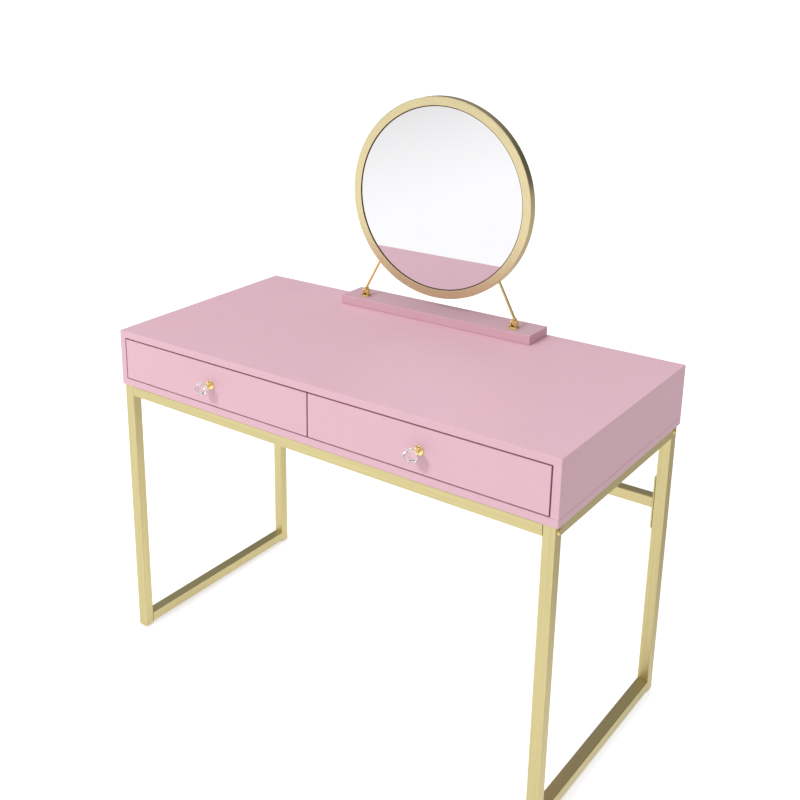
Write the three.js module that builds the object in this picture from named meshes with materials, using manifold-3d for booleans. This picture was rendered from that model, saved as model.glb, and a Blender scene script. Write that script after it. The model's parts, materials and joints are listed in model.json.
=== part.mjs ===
// Vanity table with two drawers and a round tilting mirror.
// Millimetres, +Z up, +X to the user's right, the drawers face -Y, the floor is z = 0.
import * as THREE from "three";
import { mergeVertices } from "three/addons/utils/BufferGeometryUtils.js";
import Module from "manifold-3d";

// ---- overall sizes ----
const WIDTH = 1095;
const DEPTH = 560;
const HEIGHT = 780;
const CASE_HEIGHT = 132;

// ---- gaps between pieces ----
const SEAM = 0.2; // glued, welded or bolted faces
const HOLE_PLAY = 0.3; // round a bolt, stud, pin or tenon
const REVEAL = 3; // round each drawer front

// ---- case ----
const PANEL = 16;
const BACK_PANEL = 12;
const DIVIDER = 12;
const DIVIDER_SETBACK = 1.5; // behind the drawer fronts

// ---- drawers ----
const FRONT_PANEL = 16;
const DRAWER_DEPTH = 420; // box, behind the front
const DRAWER_WALL = 12;
const DRAWER_FLOOR = 4;
const DRAWER_UNDER = 8; // case bottom panel to box
const DRAWER_OVER = 14; // box to case top panel
const FLOOR_LIFT = 8; // lower edge of the box to its floor
const GROOVE_DEPTH = 6;
const GROOVE_PLAY = 0.3;

// ---- drawer slides ----
const SLIDE_SPACE = 12.5; // between the box and the case, each side
const SLIDE_HEIGHT = 35;
const SLIDE_SHEET = 1.2;
const SLIDE_FLANGE = 9;
const SLIDE_NEST = 3.5; // outer member to inner member, top and bottom
const SLIDE_SETBACK = 8; // behind the drawer front
const SLIDE_END_GAP = 12; // back end of a slide to the back of the box

// ---- knobs ----
const KNOB_FLANGE_RADIUS = 10;
const KNOB_FLANGE_EDGE = 1.8;
const KNOB_FLANGE_HEIGHT = 3.2;
const KNOB_FLANGE_TOP_RADIUS = 8;
const KNOB_STEM_RADIUS = 4.5;
const KNOB_FILLET = 2.3; // between flange and stem
const KNOB_CUP_RADIUS = 8;
const KNOB_CUP_HEIGHT = 6.5;
const KNOB_CUP_EDGE = 2;
const KNOB_STEM = 15; // drawer face to crystal
const CRYSTAL_RADIUS = 15;
const CRYSTAL_LENGTH = 30;
const CRYSTAL_SIDES = 10;
const CRYSTAL_SHAPE = [ // shares of its radius and of its length, from the cup outwards
  [0.5, 0],
  [0.92, 0.24],
  [1, 0.48],
  [0.86, 0.74],
  [0.5, 1],
];
const STUD_RADIUS = 2;
const STUD_PAST_FRONT = 2;

// ---- frame ----
const TUBE = 25;
const TUBE_WALL = 1.2;
const SIDE_INSET = 5; // case side to leg
const END_INSET = 2.5; // case front or back to leg
const RAIL_LIFT = 3; // foot of a leg to its bottom rail
const STRETCHER_DROP = 181; // case to middle of the rear stretcher
const END_PLATE = 3;
const STRETCHER_PLATE_HEIGHT = 120;
const PLATE_HOLE_SPACING = 90;
const PLATE_HOLE_RADIUS = 2.7;
const GLIDE_HEIGHT = 4;
const GLIDE_RADIUS = 9;
const GLIDE_EDGE = 1.3;
const GLIDE_PLUG = 10;

// ---- frame bolts ----
const BOLT_RADIUS = 3;
const BOLT_HEAD_RADIUS = 6.5;
const BOLT_HEAD_HEIGHT = 3.2;
const BOLT_PAST_PLATE = 6;

// ---- mirror stand ----
const STAND_X = -11; // stands a little left of the middle
const BASE_REAR_GAP = 6.5; // table's back edge to the base's
const BASE_WIDTH = 505;
const BASE_DEPTH = 83;
const BASE_HEIGHT = 21;
const FOOT_INSET = 53.5; // base's end to the pivot's middle
const PIVOT_FORWARD = 12; // middle of the base to the pivot line
const FOOT_FLANGE_RADIUS = 12;
const FOOT_FLANGE = 3;
const CHEEK = 3;
const CHEEK_RADIUS = 6.5;
const KNUCKLE_WIDTH = 8;
const KNUCKLE_RADIUS = 6;
const KNUCKLE_CLEAR = 2; // under the knuckle
const KNUCKLE_RISE = 10; // pivot line to the top of the knuckle
const PIN_RADIUS = 2;
const PIN_HEAD_RADIUS = 4;
const PIN_HEAD_HEIGHT = 1.8;

// ---- mirror ----
const RING_RADIUS = 230;
const RING_FACE = 19.5;
const RING_DEPTH = 20;
const RING_EDGE = 1.2; // small corner cut
const RING_CLEAR = 24; // pivot line to the lowest point of the ring
const LIP_DEPTH = 2.5;
const REBATE = 5; // the lip covers this much of the glass
const GLASS = 4;
const GLASS_PLAY = 0.5;
const BACKING = 4;
const ROD_RADIUS = 3;
const ROD_PLACE = THREE.MathUtils.degToRad(43.4); // round the ring from its lowest point
const ROD_BEND_RADIUS = 3.3; // ball at the foot of a rod
const ROD_TENON = 7; // part of a rod inside the ring

// ---- roundness ----
const FINE = 72;
const ROUND = 24;
const SMALL = 16;

// ---- worked out from the sizes above ----
const caseBottom = HEIGHT - CASE_HEIGHT;
const openingWidth = WIDTH - 2 * PANEL;
const openingHeight = CASE_HEIGHT - 2 * PANEL;
const frontY = -DEPTH / 2;
const backY = DEPTH / 2;
const caseMidZ = caseBottom + CASE_HEIGHT / 2;
const bayWidth = (openingWidth - DIVIDER) / 2;
const boxHeight = openingHeight - DRAWER_UNDER - DRAWER_OVER;
const boxBottom = caseBottom + PANEL + DRAWER_UNDER;
const boxFront = frontY + FRONT_PANEL + SEAM;
const slideLength = DRAWER_DEPTH - SLIDE_SETBACK - SLIDE_END_GAP;
const slideY = boxFront + SLIDE_SETBACK;
const slideZ = boxBottom + boxHeight / 2;
const legX = WIDTH / 2 - SIDE_INSET - TUBE / 2;
const legY = DEPTH / 2 - END_INSET - TUBE / 2;
const railTop = caseBottom - SEAM;
const railZ = railTop - TUBE / 2;
const plugSide = TUBE - 2 * TUBE_WALL - 2 * HOLE_PLAY;
const stretcherZ = caseBottom - STRETCHER_DROP;
const knobReach = KNOB_STEM + CRYSTAL_LENGTH;
const standY = backY - BASE_REAR_GAP - BASE_DEPTH / 2;
const footX = BASE_WIDTH / 2 - FOOT_INSET;
const pivotY = standY - PIVOT_FORWARD;
const pivotRise = FOOT_FLANGE + KNUCKLE_RADIUS + KNUCKLE_CLEAR;
const pivotZ = HEIGHT + SEAM + BASE_HEIGHT + SEAM + pivotRise;
const ringRise = RING_RADIUS + RING_CLEAR;
const boltHole = BOLT_RADIUS + HOLE_PLAY;

// A rod runs from the top of its knuckle to the ring's outer edge.
const rodAcross = footX - RING_RADIUS * Math.sin(ROD_PLACE);
const rodUp = ringRise - RING_RADIUS * Math.cos(ROD_PLACE) - KNUCKLE_RISE;
const rodLength = Math.hypot(rodAcross, rodUp);
const rodLean = Math.atan2(rodAcross, rodUp);

const pinkPaint = new THREE.MeshStandardMaterial({ color: 0xe6bacb, roughness: 0.42, metalness: 0 });
const drawerBoard = new THREE.MeshStandardMaterial({ color: 0xe9dfe0, roughness: 0.6, metalness: 0 });
const goldPaint = new THREE.MeshStandardMaterial({ color: 0xc9b374, roughness: 0.35, metalness: 0.85 });
const brightGold = new THREE.MeshStandardMaterial({ color: 0xd8b455, roughness: 0.15, metalness: 1 });
const champagne = new THREE.MeshStandardMaterial({ color: 0xc4ae80, roughness: 0.3, metalness: 0.9 });
const crystalClear = new THREE.MeshStandardMaterial({
  color: 0xf4f4f8,
  roughness: 0.05,
  metalness: 0,
  transparent: true,
  opacity: 0.4,
});
const silvered = new THREE.MeshStandardMaterial({ color: 0xe9edee, roughness: 0.02, metalness: 1 });
const backingBoard = new THREE.MeshStandardMaterial({ color: 0x6f5a45, roughness: 0.8, metalness: 0 });
const zincSteel = new THREE.MeshStandardMaterial({ color: 0xaeb2b5, roughness: 0.35, metalness: 0.9 });
const clearPlastic = new THREE.MeshStandardMaterial({ color: 0xd9dbd4, roughness: 0.4, metalness: 0 });

const wasm = await Module();
wasm.setup();

function toSolid(geometry) {
  const bare = geometry.clone();
  bare.deleteAttribute("normal");
  bare.deleteAttribute("uv");
  const merged = mergeVertices(bare, 1e-3);
  const vertProperties = new Float32Array(merged.attributes.position.array);
  const triVerts = new Uint32Array(merged.index.array);
  return new wasm.Manifold(new wasm.Mesh({ numProp: 3, vertProperties, triVerts }));
}

function toGeometry(solid) {
  const mesh = solid.getMesh();
  const geometry = new THREE.BufferGeometry();
  geometry.setAttribute("position", new THREE.BufferAttribute(new Float32Array(mesh.vertProperties), 3));
  geometry.setIndex(new THREE.BufferAttribute(new Uint32Array(mesh.triVerts), 1));
  geometry.computeVertexNormals();
  return geometry;
}

function cut(body, ...tools) {
  return toGeometry(tools.reduce((left, tool) => left.subtract(toSolid(tool)), toSolid(body)));
}

function join(...bodies) {
  return toGeometry(bodies.map(toSolid).reduce((whole, piece) => whole.add(piece)));
}

function addPart(group, name, geometry, material, x = 0, y = 0, z = 0) {
  const mesh = new THREE.Mesh(geometry, material);
  mesh.name = name;
  mesh.position.set(x, y, z);
  group.add(mesh);
}

// A box of sizes w, d and h along X, Y and Z, its middle moved to x, y, z.
function block(w, d, h, x = 0, y = 0, z = 0) {
  return new THREE.BoxGeometry(w, d, h).translate(x, y, z);
}

// A round bar along X, its middle moved to x, y, z.
function barX(radius, length, x = 0, y = 0, z = 0, sides = SMALL) {
  return new THREE.CylinderGeometry(radius, radius, length, sides).rotateZ(Math.PI / 2).translate(x, y, z);
}

// A closed outline of [u, v] points, pushed out along +Z.
function extrude(points, length) {
  const shape = new THREE.Shape(points.map(([u, v]) => new THREE.Vector2(u, v)));
  return new THREE.ExtrudeGeometry(shape, { depth: length, bevelEnabled: false });
}

// A shape turned about the Y axis from [radius, y] points.
function turned(points, sides = ROUND) {
  return new THREE.LatheGeometry(points.map(([r, y]) => new THREE.Vector2(r, y)), sides);
}

// Points of a quarter dome, from its rim at [radius, y] to its top on the axis.
function dome(radius, height, y, steps = 4) {
  const points = [];
  for (let i = 0; i <= steps; i += 1) {
    const angle = (i / steps) * (Math.PI / 2);
    points.push([i === steps ? 0 : radius * Math.cos(angle), y + height * Math.sin(angle)]);
  }
  return points;
}

// An open square tube that stands on z = 0.
function squareTube(length) {
  const half = TUBE / 2;
  const inner = half - TUBE_WALL;
  const square = (s) => [
    [-s, -s],
    [s, -s],
    [s, s],
    [-s, s],
  ];
  const shape = new THREE.Shape(square(half).map(([u, v]) => new THREE.Vector2(u, v)));
  shape.holes.push(new THREE.Path(square(inner).map(([u, v]) => new THREE.Vector2(u, v))));
  return new THREE.ExtrudeGeometry(shape, { depth: length, bevelEnabled: false });
}

// ---- case ----

function makeCase(group) {
  const sideHeight = openingHeight - 2 * SEAM;
  addPart(group, "top_panel", block(WIDTH, DEPTH, PANEL), pinkPaint, 0, 0, HEIGHT - PANEL / 2);
  addPart(group, "bottom_panel", block(WIDTH, DEPTH, PANEL), pinkPaint, 0, 0, caseBottom + PANEL / 2);
  for (const [side, sx] of [["left", -1], ["right", 1]]) {
    const x = sx * (WIDTH - PANEL) / 2;
    addPart(group, `${side}_side_panel`, block(PANEL, DEPTH, sideHeight), pinkPaint, x, 0, caseMidZ);
  }
  const backWidth = openingWidth - 2 * SEAM;
  const back = block(backWidth, BACK_PANEL, sideHeight);
  addPart(group, "back_panel", back, pinkPaint, 0, backY - BACK_PANEL / 2, caseMidZ);
  const dividerFront = frontY + FRONT_PANEL + DIVIDER_SETBACK;
  const dividerBack = backY - BACK_PANEL - SEAM;
  const divider = block(DIVIDER, dividerBack - dividerFront, sideHeight);
  addPart(group, "centre_divider", divider, drawerBoard, 0, (dividerFront + dividerBack) / 2, caseMidZ);
}

// ---- drawers ----

// A folded channel along +Y whose web is at x = 0 and whose flanges point towards +X.
function channel(height, flange, length) {
  const half = height / 2;
  const inner = half - SLIDE_SHEET;
  const outline = [
    [0, -half],
    [flange, -half],
    [flange, -inner],
    [SLIDE_SHEET, -inner],
    [SLIDE_SHEET, inner],
    [flange, inner],
    [flange, half],
    [0, half],
  ];
  return extrude(outline, length).rotateX(Math.PI / 2).translate(0, length, 0);
}

function knobBase() {
  const stud = [
    [0, -FRONT_PANEL - STUD_PAST_FRONT],
    [STUD_RADIUS, -FRONT_PANEL - STUD_PAST_FRONT],
    [STUD_RADIUS, SEAM],
  ];
  const flange = [
    [KNOB_FLANGE_RADIUS, SEAM],
    [KNOB_FLANGE_RADIUS, KNOB_FLANGE_EDGE],
    [KNOB_FLANGE_TOP_RADIUS, KNOB_FLANGE_HEIGHT],
  ];
  const stem = [
    [KNOB_STEM_RADIUS, KNOB_FLANGE_HEIGHT + KNOB_FILLET],
    [KNOB_STEM_RADIUS, KNOB_STEM - KNOB_CUP_HEIGHT],
    [KNOB_CUP_RADIUS, KNOB_STEM - KNOB_CUP_EDGE],
    [KNOB_CUP_RADIUS, KNOB_STEM],
    [0, KNOB_STEM],
  ];
  return turned([...stud, ...flange, ...stem]).rotateX(Math.PI);
}

function knobCrystal() {
  const start = KNOB_STEM + SEAM;
  const length = knobReach - start;
  const points = CRYSTAL_SHAPE.map(([r, along]) => [r * CRYSTAL_RADIUS, start + along * length]);
  return turned([[0, start], ...points, [0, knobReach]], CRYSTAL_SIDES).rotateX(Math.PI);
}

function makeDrawer(group, side, sx) {
  const frontWidth = (openingWidth - 3 * REVEAL) / 2;
  const frontHeight = openingHeight - 2 * REVEAL;
  const frontX = sx * (frontWidth + REVEAL) / 2;
  const bayX = sx * (bayWidth + DIVIDER) / 2;
  const boxWidth = bayWidth - 2 * SLIDE_SPACE;

  const studHole = STUD_RADIUS + HOLE_PLAY;
  const front = cut(
    block(frontWidth, FRONT_PANEL, frontHeight, 0, FRONT_PANEL / 2, 0),
    new THREE.CylinderGeometry(studHole, studHole, 3 * FRONT_PANEL, SMALL),
  );
  addPart(group, `${side}_drawer_front`, front, pinkPaint, frontX, frontY, caseMidZ);
  addPart(group, `${side}_knob_base`, knobBase(), brightGold, frontX, frontY, caseMidZ);
  addPart(group, `${side}_knob_crystal`, knobCrystal(), crystalClear, frontX, frontY, caseMidZ);

  // Side walls with a groove for the floor; the outline's u runs from the outer face inwards.
  const grooveLow = FLOOR_LIFT - GROOVE_PLAY;
  const grooveHigh = FLOOR_LIFT + DRAWER_FLOOR + GROOVE_PLAY;
  const grooveEnd = DRAWER_WALL - GROOVE_DEPTH;
  const wallOutline = [
    [0, 0],
    [DRAWER_WALL, 0],
    [DRAWER_WALL, grooveLow],
    [grooveEnd, grooveLow],
    [grooveEnd, grooveHigh],
    [DRAWER_WALL, grooveHigh],
    [DRAWER_WALL, boxHeight],
    [0, boxHeight],
  ];
  for (const [hand, hx] of [["left", -1], ["right", 1]]) {
    const wall = extrude(wallOutline, DRAWER_DEPTH).rotateX(Math.PI / 2).translate(0, DRAWER_DEPTH, 0);
    if (hx > 0) {
      wall.rotateZ(Math.PI).translate(0, DRAWER_DEPTH, 0);
    }
    const wallX = bayX + hx * boxWidth / 2;
    addPart(group, `${side}_drawer_${hand}_wall`, wall, drawerBoard, wallX, boxFront, boxBottom);

    const innerHeight = SLIDE_HEIGHT - 2 * SLIDE_NEST;
    const inner = channel(innerHeight, SLIDE_FLANGE - SLIDE_SHEET, slideLength);
    if (hx < 0) {
      inner.rotateZ(Math.PI).translate(0, slideLength, 0);
    }
    const innerX = wallX + hx * SEAM;
    addPart(group, `${side}_drawer_${hand}_inner_slide`, inner, zincSteel, innerX, slideY, slideZ);
  }
  const innerWidth = boxWidth - 2 * DRAWER_WALL - 2 * SEAM;
  const backBottom = boxBottom + grooveHigh;
  const backHeight = boxBottom + boxHeight - backBottom;
  const back = block(innerWidth, DRAWER_WALL, backHeight);
  const backPlaceY = boxFront + DRAWER_DEPTH - DRAWER_WALL / 2;
  const backPlaceZ = backBottom + backHeight / 2;
  addPart(group, `${side}_drawer_back`, back, drawerBoard, bayX, backPlaceY, backPlaceZ);
  const floorWidth = boxWidth - 2 * DRAWER_WALL + 2 * (GROOVE_DEPTH - GROOVE_PLAY);
  const floor = block(floorWidth, DRAWER_DEPTH, DRAWER_FLOOR);
  const floorZ = boxBottom + FLOOR_LIFT + DRAWER_FLOOR / 2;
  addPart(group, `${side}_drawer_floor`, floor, drawerBoard, bayX, boxFront + DRAWER_DEPTH / 2, floorZ);
}

// The outer halves of the slides stay on the case.
function makeOuterSlides(group, side, sx) {
  const bayX = sx * (bayWidth + DIVIDER) / 2;
  for (const [hand, hx] of [["left", -1], ["right", 1]]) {
    const outer = channel(SLIDE_HEIGHT, SLIDE_FLANGE, slideLength);
    if (hx > 0) {
      outer.rotateZ(Math.PI).translate(0, slideLength, 0);
    }
    const x = bayX + hx * (bayWidth / 2 - SEAM);
    addPart(group, `${side}_bay_${hand}_outer_slide`, outer, zincSteel, x, slideY, slideZ);
  }
}

// ---- frame ----

function makeGlide() {
  const foot = turned([
    [0, 0],
    [GLIDE_RADIUS - GLIDE_EDGE, 0],
    [GLIDE_RADIUS, GLIDE_EDGE],
    [GLIDE_RADIUS, GLIDE_HEIGHT],
    [0, GLIDE_HEIGHT],
  ]).rotateX(Math.PI / 2);
  const plug = block(plugSide, plugSide, GLIDE_PLUG, 0, 0, GLIDE_HEIGHT + GLIDE_PLUG / 2 - SEAM);
  return join(foot, plug);
}

function makeBolt() {
  const length = TUBE + SEAM + END_PLATE + BOLT_PAST_PLATE;
  const shank = [
    [0, -length],
    [BOLT_RADIUS, -length],
    [BOLT_RADIUS, SEAM],
  ];
  return turned([...shank, ...dome(BOLT_HEAD_RADIUS, BOLT_HEAD_HEIGHT, SEAM)]).rotateZ(-Math.PI / 2);
}

// A tube along X between the two side frames, closed by an end plate that takes a bolt.
function makeCrossRail() {
  const length = 2 * legX - TUBE - 2 * SEAM;
  const inner = TUBE - 2 * TUBE_WALL;
  return cut(
    block(length, TUBE, TUBE),
    block(length - 2 * END_PLATE, inner, inner),
    barX(boltHole, length + TUBE),
  );
}

function makeLeg(sx, sy) {
  const length = railTop - GLIDE_HEIGHT;
  const boltHeight = railZ - GLIDE_HEIGHT;
  const holes = [barX(boltHole, 2 * TUBE, 0, 0, boltHeight)];
  if (sy > 0) {
    for (const dz of [-1, 1]) {
      const z = stretcherZ - GLIDE_HEIGHT + dz * PLATE_HOLE_SPACING / 2;
      holes.push(barX(PLATE_HOLE_RADIUS, TUBE, -sx * TUBE / 2, 0, z));
    }
  }
  return cut(squareTube(length), ...holes);
}

function makeFrame(group) {
  const sideLength = 2 * legY - TUBE - 2 * SEAM;
  const bottomZ = GLIDE_HEIGHT + RAIL_LIFT + TUBE / 2;
  for (const [side, sx] of [["left", -1], ["right", 1]]) {
    for (const [end, sy] of [["front", -1], ["rear", 1]]) {
      const name = `${end}_${side}`;
      addPart(group, `${name}_leg`, makeLeg(sx, sy), goldPaint, sx * legX, sy * legY, GLIDE_HEIGHT);
      addPart(group, `${name}_glide`, makeGlide(), clearPlastic, sx * legX, sy * legY, 0);
      const bolt = makeBolt();
      if (sx < 0) {
        bolt.rotateZ(Math.PI);
      }
      addPart(group, `${name}_frame_bolt`, bolt, brightGold, sx * (legX + TUBE / 2), sy * legY, railZ);
    }
    for (const [level, z] of [["top", railZ], ["bottom", bottomZ]]) {
      const rail = squareTube(sideLength).rotateX(Math.PI / 2).translate(0, sideLength / 2, 0);
      addPart(group, `${side}_${level}_side_rail`, rail, goldPaint, sx * legX, 0, z);
    }
  }
  addPart(group, "front_top_rail", makeCrossRail(), goldPaint, 0, -legY, railZ);
  addPart(group, "rear_top_rail", makeCrossRail(), goldPaint, 0, legY, railZ);

  const plateX = legX - TUBE / 2 - SEAM - END_PLATE / 2;
  for (const [side, sx] of [["left", -1], ["right", 1]]) {
    const plate = cut(
      block(END_PLATE, TUBE, STRETCHER_PLATE_HEIGHT),
      barX(PLATE_HOLE_RADIUS, 3 * END_PLATE, 0, 0, -PLATE_HOLE_SPACING / 2),
      barX(PLATE_HOLE_RADIUS, 3 * END_PLATE, 0, 0, PLATE_HOLE_SPACING / 2),
    );
    addPart(group, `${side}_stretcher_plate`, plate, goldPaint, sx * plateX, legY, stretcherZ);
  }
  const stretcherLength = 2 * plateX - END_PLATE - 2 * SEAM;
  const stretcher = squareTube(stretcherLength).rotateY(Math.PI / 2).translate(-stretcherLength / 2, 0, 0);
  addPart(group, "rear_stretcher", stretcher, goldPaint, 0, legY, stretcherZ);
}

// ---- mirror stand ----

// A flat plate in the Y-Z plane: round at the end by the pivot, square at the end of reach z.
function pivotPlate(radius, reach, thickness) {
  const turn = reach < 0 ? 0 : Math.PI;
  const outline = [[radius, reach]];
  for (let i = 0; i <= ROUND / 2; i += 1) {
    const angle = turn + (i / (ROUND / 2)) * Math.PI;
    outline.push([radius * Math.cos(angle) * (reach < 0 ? 1 : -1), radius * Math.sin(angle)]);
  }
  outline.push([-radius, reach]);
  const plate = extrude(outline, thickness).translate(0, 0, -thickness / 2);
  return plate.rotateX(Math.PI / 2).rotateZ(Math.PI / 2);
}

function makeFoot() {
  const flange = new THREE.CylinderGeometry(FOOT_FLANGE_RADIUS, FOOT_FLANGE_RADIUS, FOOT_FLANGE, ROUND)
    .rotateX(Math.PI / 2)
    .translate(0, 0, FOOT_FLANGE / 2 - pivotRise);
  const cheekX = KNUCKLE_WIDTH / 2 + HOLE_PLAY + CHEEK / 2;
  const reach = FOOT_FLANGE / 2 - pivotRise;
  const cheeks = [-1, 1].map((hx) => pivotPlate(CHEEK_RADIUS, reach, CHEEK).translate(hx * cheekX, 0, 0));
  return cut(join(flange, ...cheeks), barX(PIN_RADIUS + HOLE_PLAY, 4 * FOOT_FLANGE_RADIUS));
}

function makePin() {
  const half = KNUCKLE_WIDTH / 2 + HOLE_PLAY + CHEEK + SEAM;
  const top = dome(PIN_HEAD_RADIUS, PIN_HEAD_HEIGHT, half);
  const bottom = top.map(([r, y]) => [r, -y]).reverse();
  const shank = [[PIN_RADIUS, -half], [PIN_RADIUS, half]];
  return turned([...bottom, ...shank, ...top], SMALL).rotateZ(-Math.PI / 2);
}

// A bar from the top of the right knuckle, leaning to the middle.
function leaningBar(radius, length) {
  return new THREE.CylinderGeometry(radius, radius, length, SMALL)
    .rotateX(Math.PI / 2)
    .translate(0, 0, length / 2)
    .rotateY(-rodLean)
    .translate(0, 0, KNUCKLE_RISE);
}

// A flat-sided knuckle on the pin, with the rod set in its top by a ball.
function makeRod(sx) {
  const knuckle = pivotPlate(KNUCKLE_RADIUS, KNUCKLE_RISE, KNUCKLE_WIDTH);
  const ball = new THREE.SphereGeometry(ROD_BEND_RADIUS, SMALL, SMALL / 2).translate(0, 0, KNUCKLE_RISE);
  const bar = leaningBar(ROD_RADIUS, rodLength + ROD_TENON);
  const rod = cut(join(knuckle, ball, bar), barX(PIN_RADIUS + HOLE_PLAY, 4 * KNUCKLE_WIDTH));
  return sx > 0 ? rod : rod.rotateZ(Math.PI);
}

function makeRing() {
  const half = RING_DEPTH / 2;
  const inner = RING_RADIUS - RING_FACE;
  const rebate = inner + REBATE;
  const lip = -half + LIP_DEPTH;
  const outline = [
    [inner + RING_EDGE, -half],
    [RING_RADIUS - RING_EDGE, -half],
    [RING_RADIUS, -half + RING_EDGE],
    [RING_RADIUS, half - RING_EDGE],
    [RING_RADIUS - RING_EDGE, half],
    [rebate, half],
    [rebate, lip],
    [inner, lip],
    [inner, -half + RING_EDGE],
    [inner + RING_EDGE, -half],
  ];
  const ring = turned(outline, FINE).translate(0, 0, ringRise);
  const drills = [-1, 1].map((sx) => {
    const drill = leaningBar(ROD_RADIUS + HOLE_PLAY, rodLength + ROD_TENON + HOLE_PLAY);
    return (sx > 0 ? drill : drill.rotateZ(Math.PI)).translate(sx * footX, 0, 0);
  });
  return cut(ring, ...drills);
}

function makeStand(group) {
  const baseZ = HEIGHT + SEAM + BASE_HEIGHT / 2;
  const base = block(BASE_WIDTH, BASE_DEPTH, BASE_HEIGHT);
  addPart(group, "mirror_base", base, pinkPaint, STAND_X, standY, baseZ);
  for (const [side, sx] of [["left", -1], ["right", 1]]) {
    const x = STAND_X + sx * footX;
    addPart(group, `${side}_mirror_foot`, makeFoot(), brightGold, x, pivotY, pivotZ);
    addPart(group, `${side}_pivot_pin`, makePin(), brightGold, x, pivotY, pivotZ);
  }
}

function makeMirror(group) {
  const mirror = new THREE.Group();
  mirror.position.set(STAND_X, pivotY, pivotZ);
  group.add(mirror);
  const glassRadius = RING_RADIUS - RING_FACE + REBATE - GLASS_PLAY;
  const glassY = -RING_DEPTH / 2 + LIP_DEPTH + SEAM + GLASS / 2;
  const backingY = glassY + GLASS / 2 + SEAM + BACKING / 2;
  const glass = new THREE.CylinderGeometry(glassRadius, glassRadius, GLASS, FINE);
  const backing = new THREE.CylinderGeometry(glassRadius, glassRadius, BACKING, FINE);
  addPart(mirror, "mirror_ring", makeRing(), champagne);
  addPart(mirror, "mirror_glass", glass, silvered, 0, glassY, ringRise);
  addPart(mirror, "mirror_backing", backing, backingBoard, 0, backingY, ringRise);
  for (const [side, sx] of [["left", -1], ["right", 1]]) {
    addPart(mirror, `${side}_mirror_rod`, makeRod(sx), brightGold, sx * footX, 0, 0);
  }
}

// The origin is on the floor under the middle of the whole part, knobs included.
const table = new THREE.Group();
table.position.y = knobReach / 2;
makeCase(table);
for (const [side, sx] of [["left", -1], ["right", 1]]) {
  makeOuterSlides(table, side, sx);
  makeDrawer(table, side, sx);
}
makeFrame(table);
makeStand(table);
makeMirror(table);

const vanityTable = new THREE.Group();
vanityTable.add(table);

export default vanityTable;
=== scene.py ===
"""Vanity table with a round tilting mirror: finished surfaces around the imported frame.

Metres, +Z up, +X to the user's right, the drawers face -Y, the floor is z = 0.
"""

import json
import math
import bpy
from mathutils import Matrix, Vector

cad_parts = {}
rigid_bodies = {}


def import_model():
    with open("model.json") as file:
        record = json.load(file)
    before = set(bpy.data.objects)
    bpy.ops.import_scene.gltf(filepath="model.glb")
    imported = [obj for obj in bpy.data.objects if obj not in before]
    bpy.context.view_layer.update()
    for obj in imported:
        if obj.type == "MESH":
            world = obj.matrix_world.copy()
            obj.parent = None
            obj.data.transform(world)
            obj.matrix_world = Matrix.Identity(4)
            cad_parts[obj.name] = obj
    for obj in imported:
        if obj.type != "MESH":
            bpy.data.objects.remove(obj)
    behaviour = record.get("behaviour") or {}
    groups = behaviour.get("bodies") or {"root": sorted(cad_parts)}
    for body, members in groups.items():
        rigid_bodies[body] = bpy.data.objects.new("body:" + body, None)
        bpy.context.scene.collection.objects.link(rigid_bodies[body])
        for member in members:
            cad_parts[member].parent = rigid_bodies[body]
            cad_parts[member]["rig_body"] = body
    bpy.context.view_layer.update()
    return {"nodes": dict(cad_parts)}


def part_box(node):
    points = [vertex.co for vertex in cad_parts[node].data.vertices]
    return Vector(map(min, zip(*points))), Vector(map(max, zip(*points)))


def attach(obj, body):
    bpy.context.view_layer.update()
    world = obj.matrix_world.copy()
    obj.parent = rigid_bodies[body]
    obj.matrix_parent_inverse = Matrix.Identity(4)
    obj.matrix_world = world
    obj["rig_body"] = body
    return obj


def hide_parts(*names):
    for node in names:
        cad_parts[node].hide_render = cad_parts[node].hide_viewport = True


bl_info = {
    "name": "Vanity Table Finish",
    "version": (1, 0, 0),
    "blender": (4, 5, 0),
    "location": "View3D > Sidebar > Vanity",
    "description": "Builds the finished pieces, materials and studio of a vanity table",
    "category": "Object",
}

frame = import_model()

import bmesh
import bpy
from bpy.props import FloatProperty, FloatVectorProperty, IntProperty, PointerProperty
from mathutils import Matrix, Vector

MM = 0.001
X, Y, Z = 0, 1, 2
SIDES = ("left", "right")
OUTWARD = {"left": -1, "right": 1}
ENDS = ("front", "rear")
AXES = (Vector((1, 0, 0)), Vector((0, 1, 0)), Vector((0, 0, 1)))
SMOOTH_ANGLE = 35.0
GLASS_PLAY = 0.5 * MM
SEAT_GAP = 0.2 * MM


def from_display(red, green, blue):
    """A colour on a 0 to 255 display scale as the linear values that shaders use."""
    shares = [c / 255 for c in (red, green, blue)]
    return tuple(c / 12.92 if c <= 0.04045 else ((c + 0.055) / 1.055) ** 2.4 for c in shares)


# ---- what a user can change ----


def length(name, description, millimetres):
    return FloatProperty(
        name=name, description=description, default=millimetres * MM, min=0, precision=5,
        unit="LENGTH", subtype="DISTANCE",
    )


def share(name, description, default, top=1.0):
    return FloatProperty(
        name=name, description=description, default=default, min=0, max=top, subtype="FACTOR",
    )


def strength(name, description, default):
    return FloatProperty(name=name, description=description, default=default, min=0)


def colour(name, description, *display):
    return FloatVectorProperty(
        name=name, description=description, default=from_display(*display), min=0, max=1,
        subtype="COLOR", size=3,
    )


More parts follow.
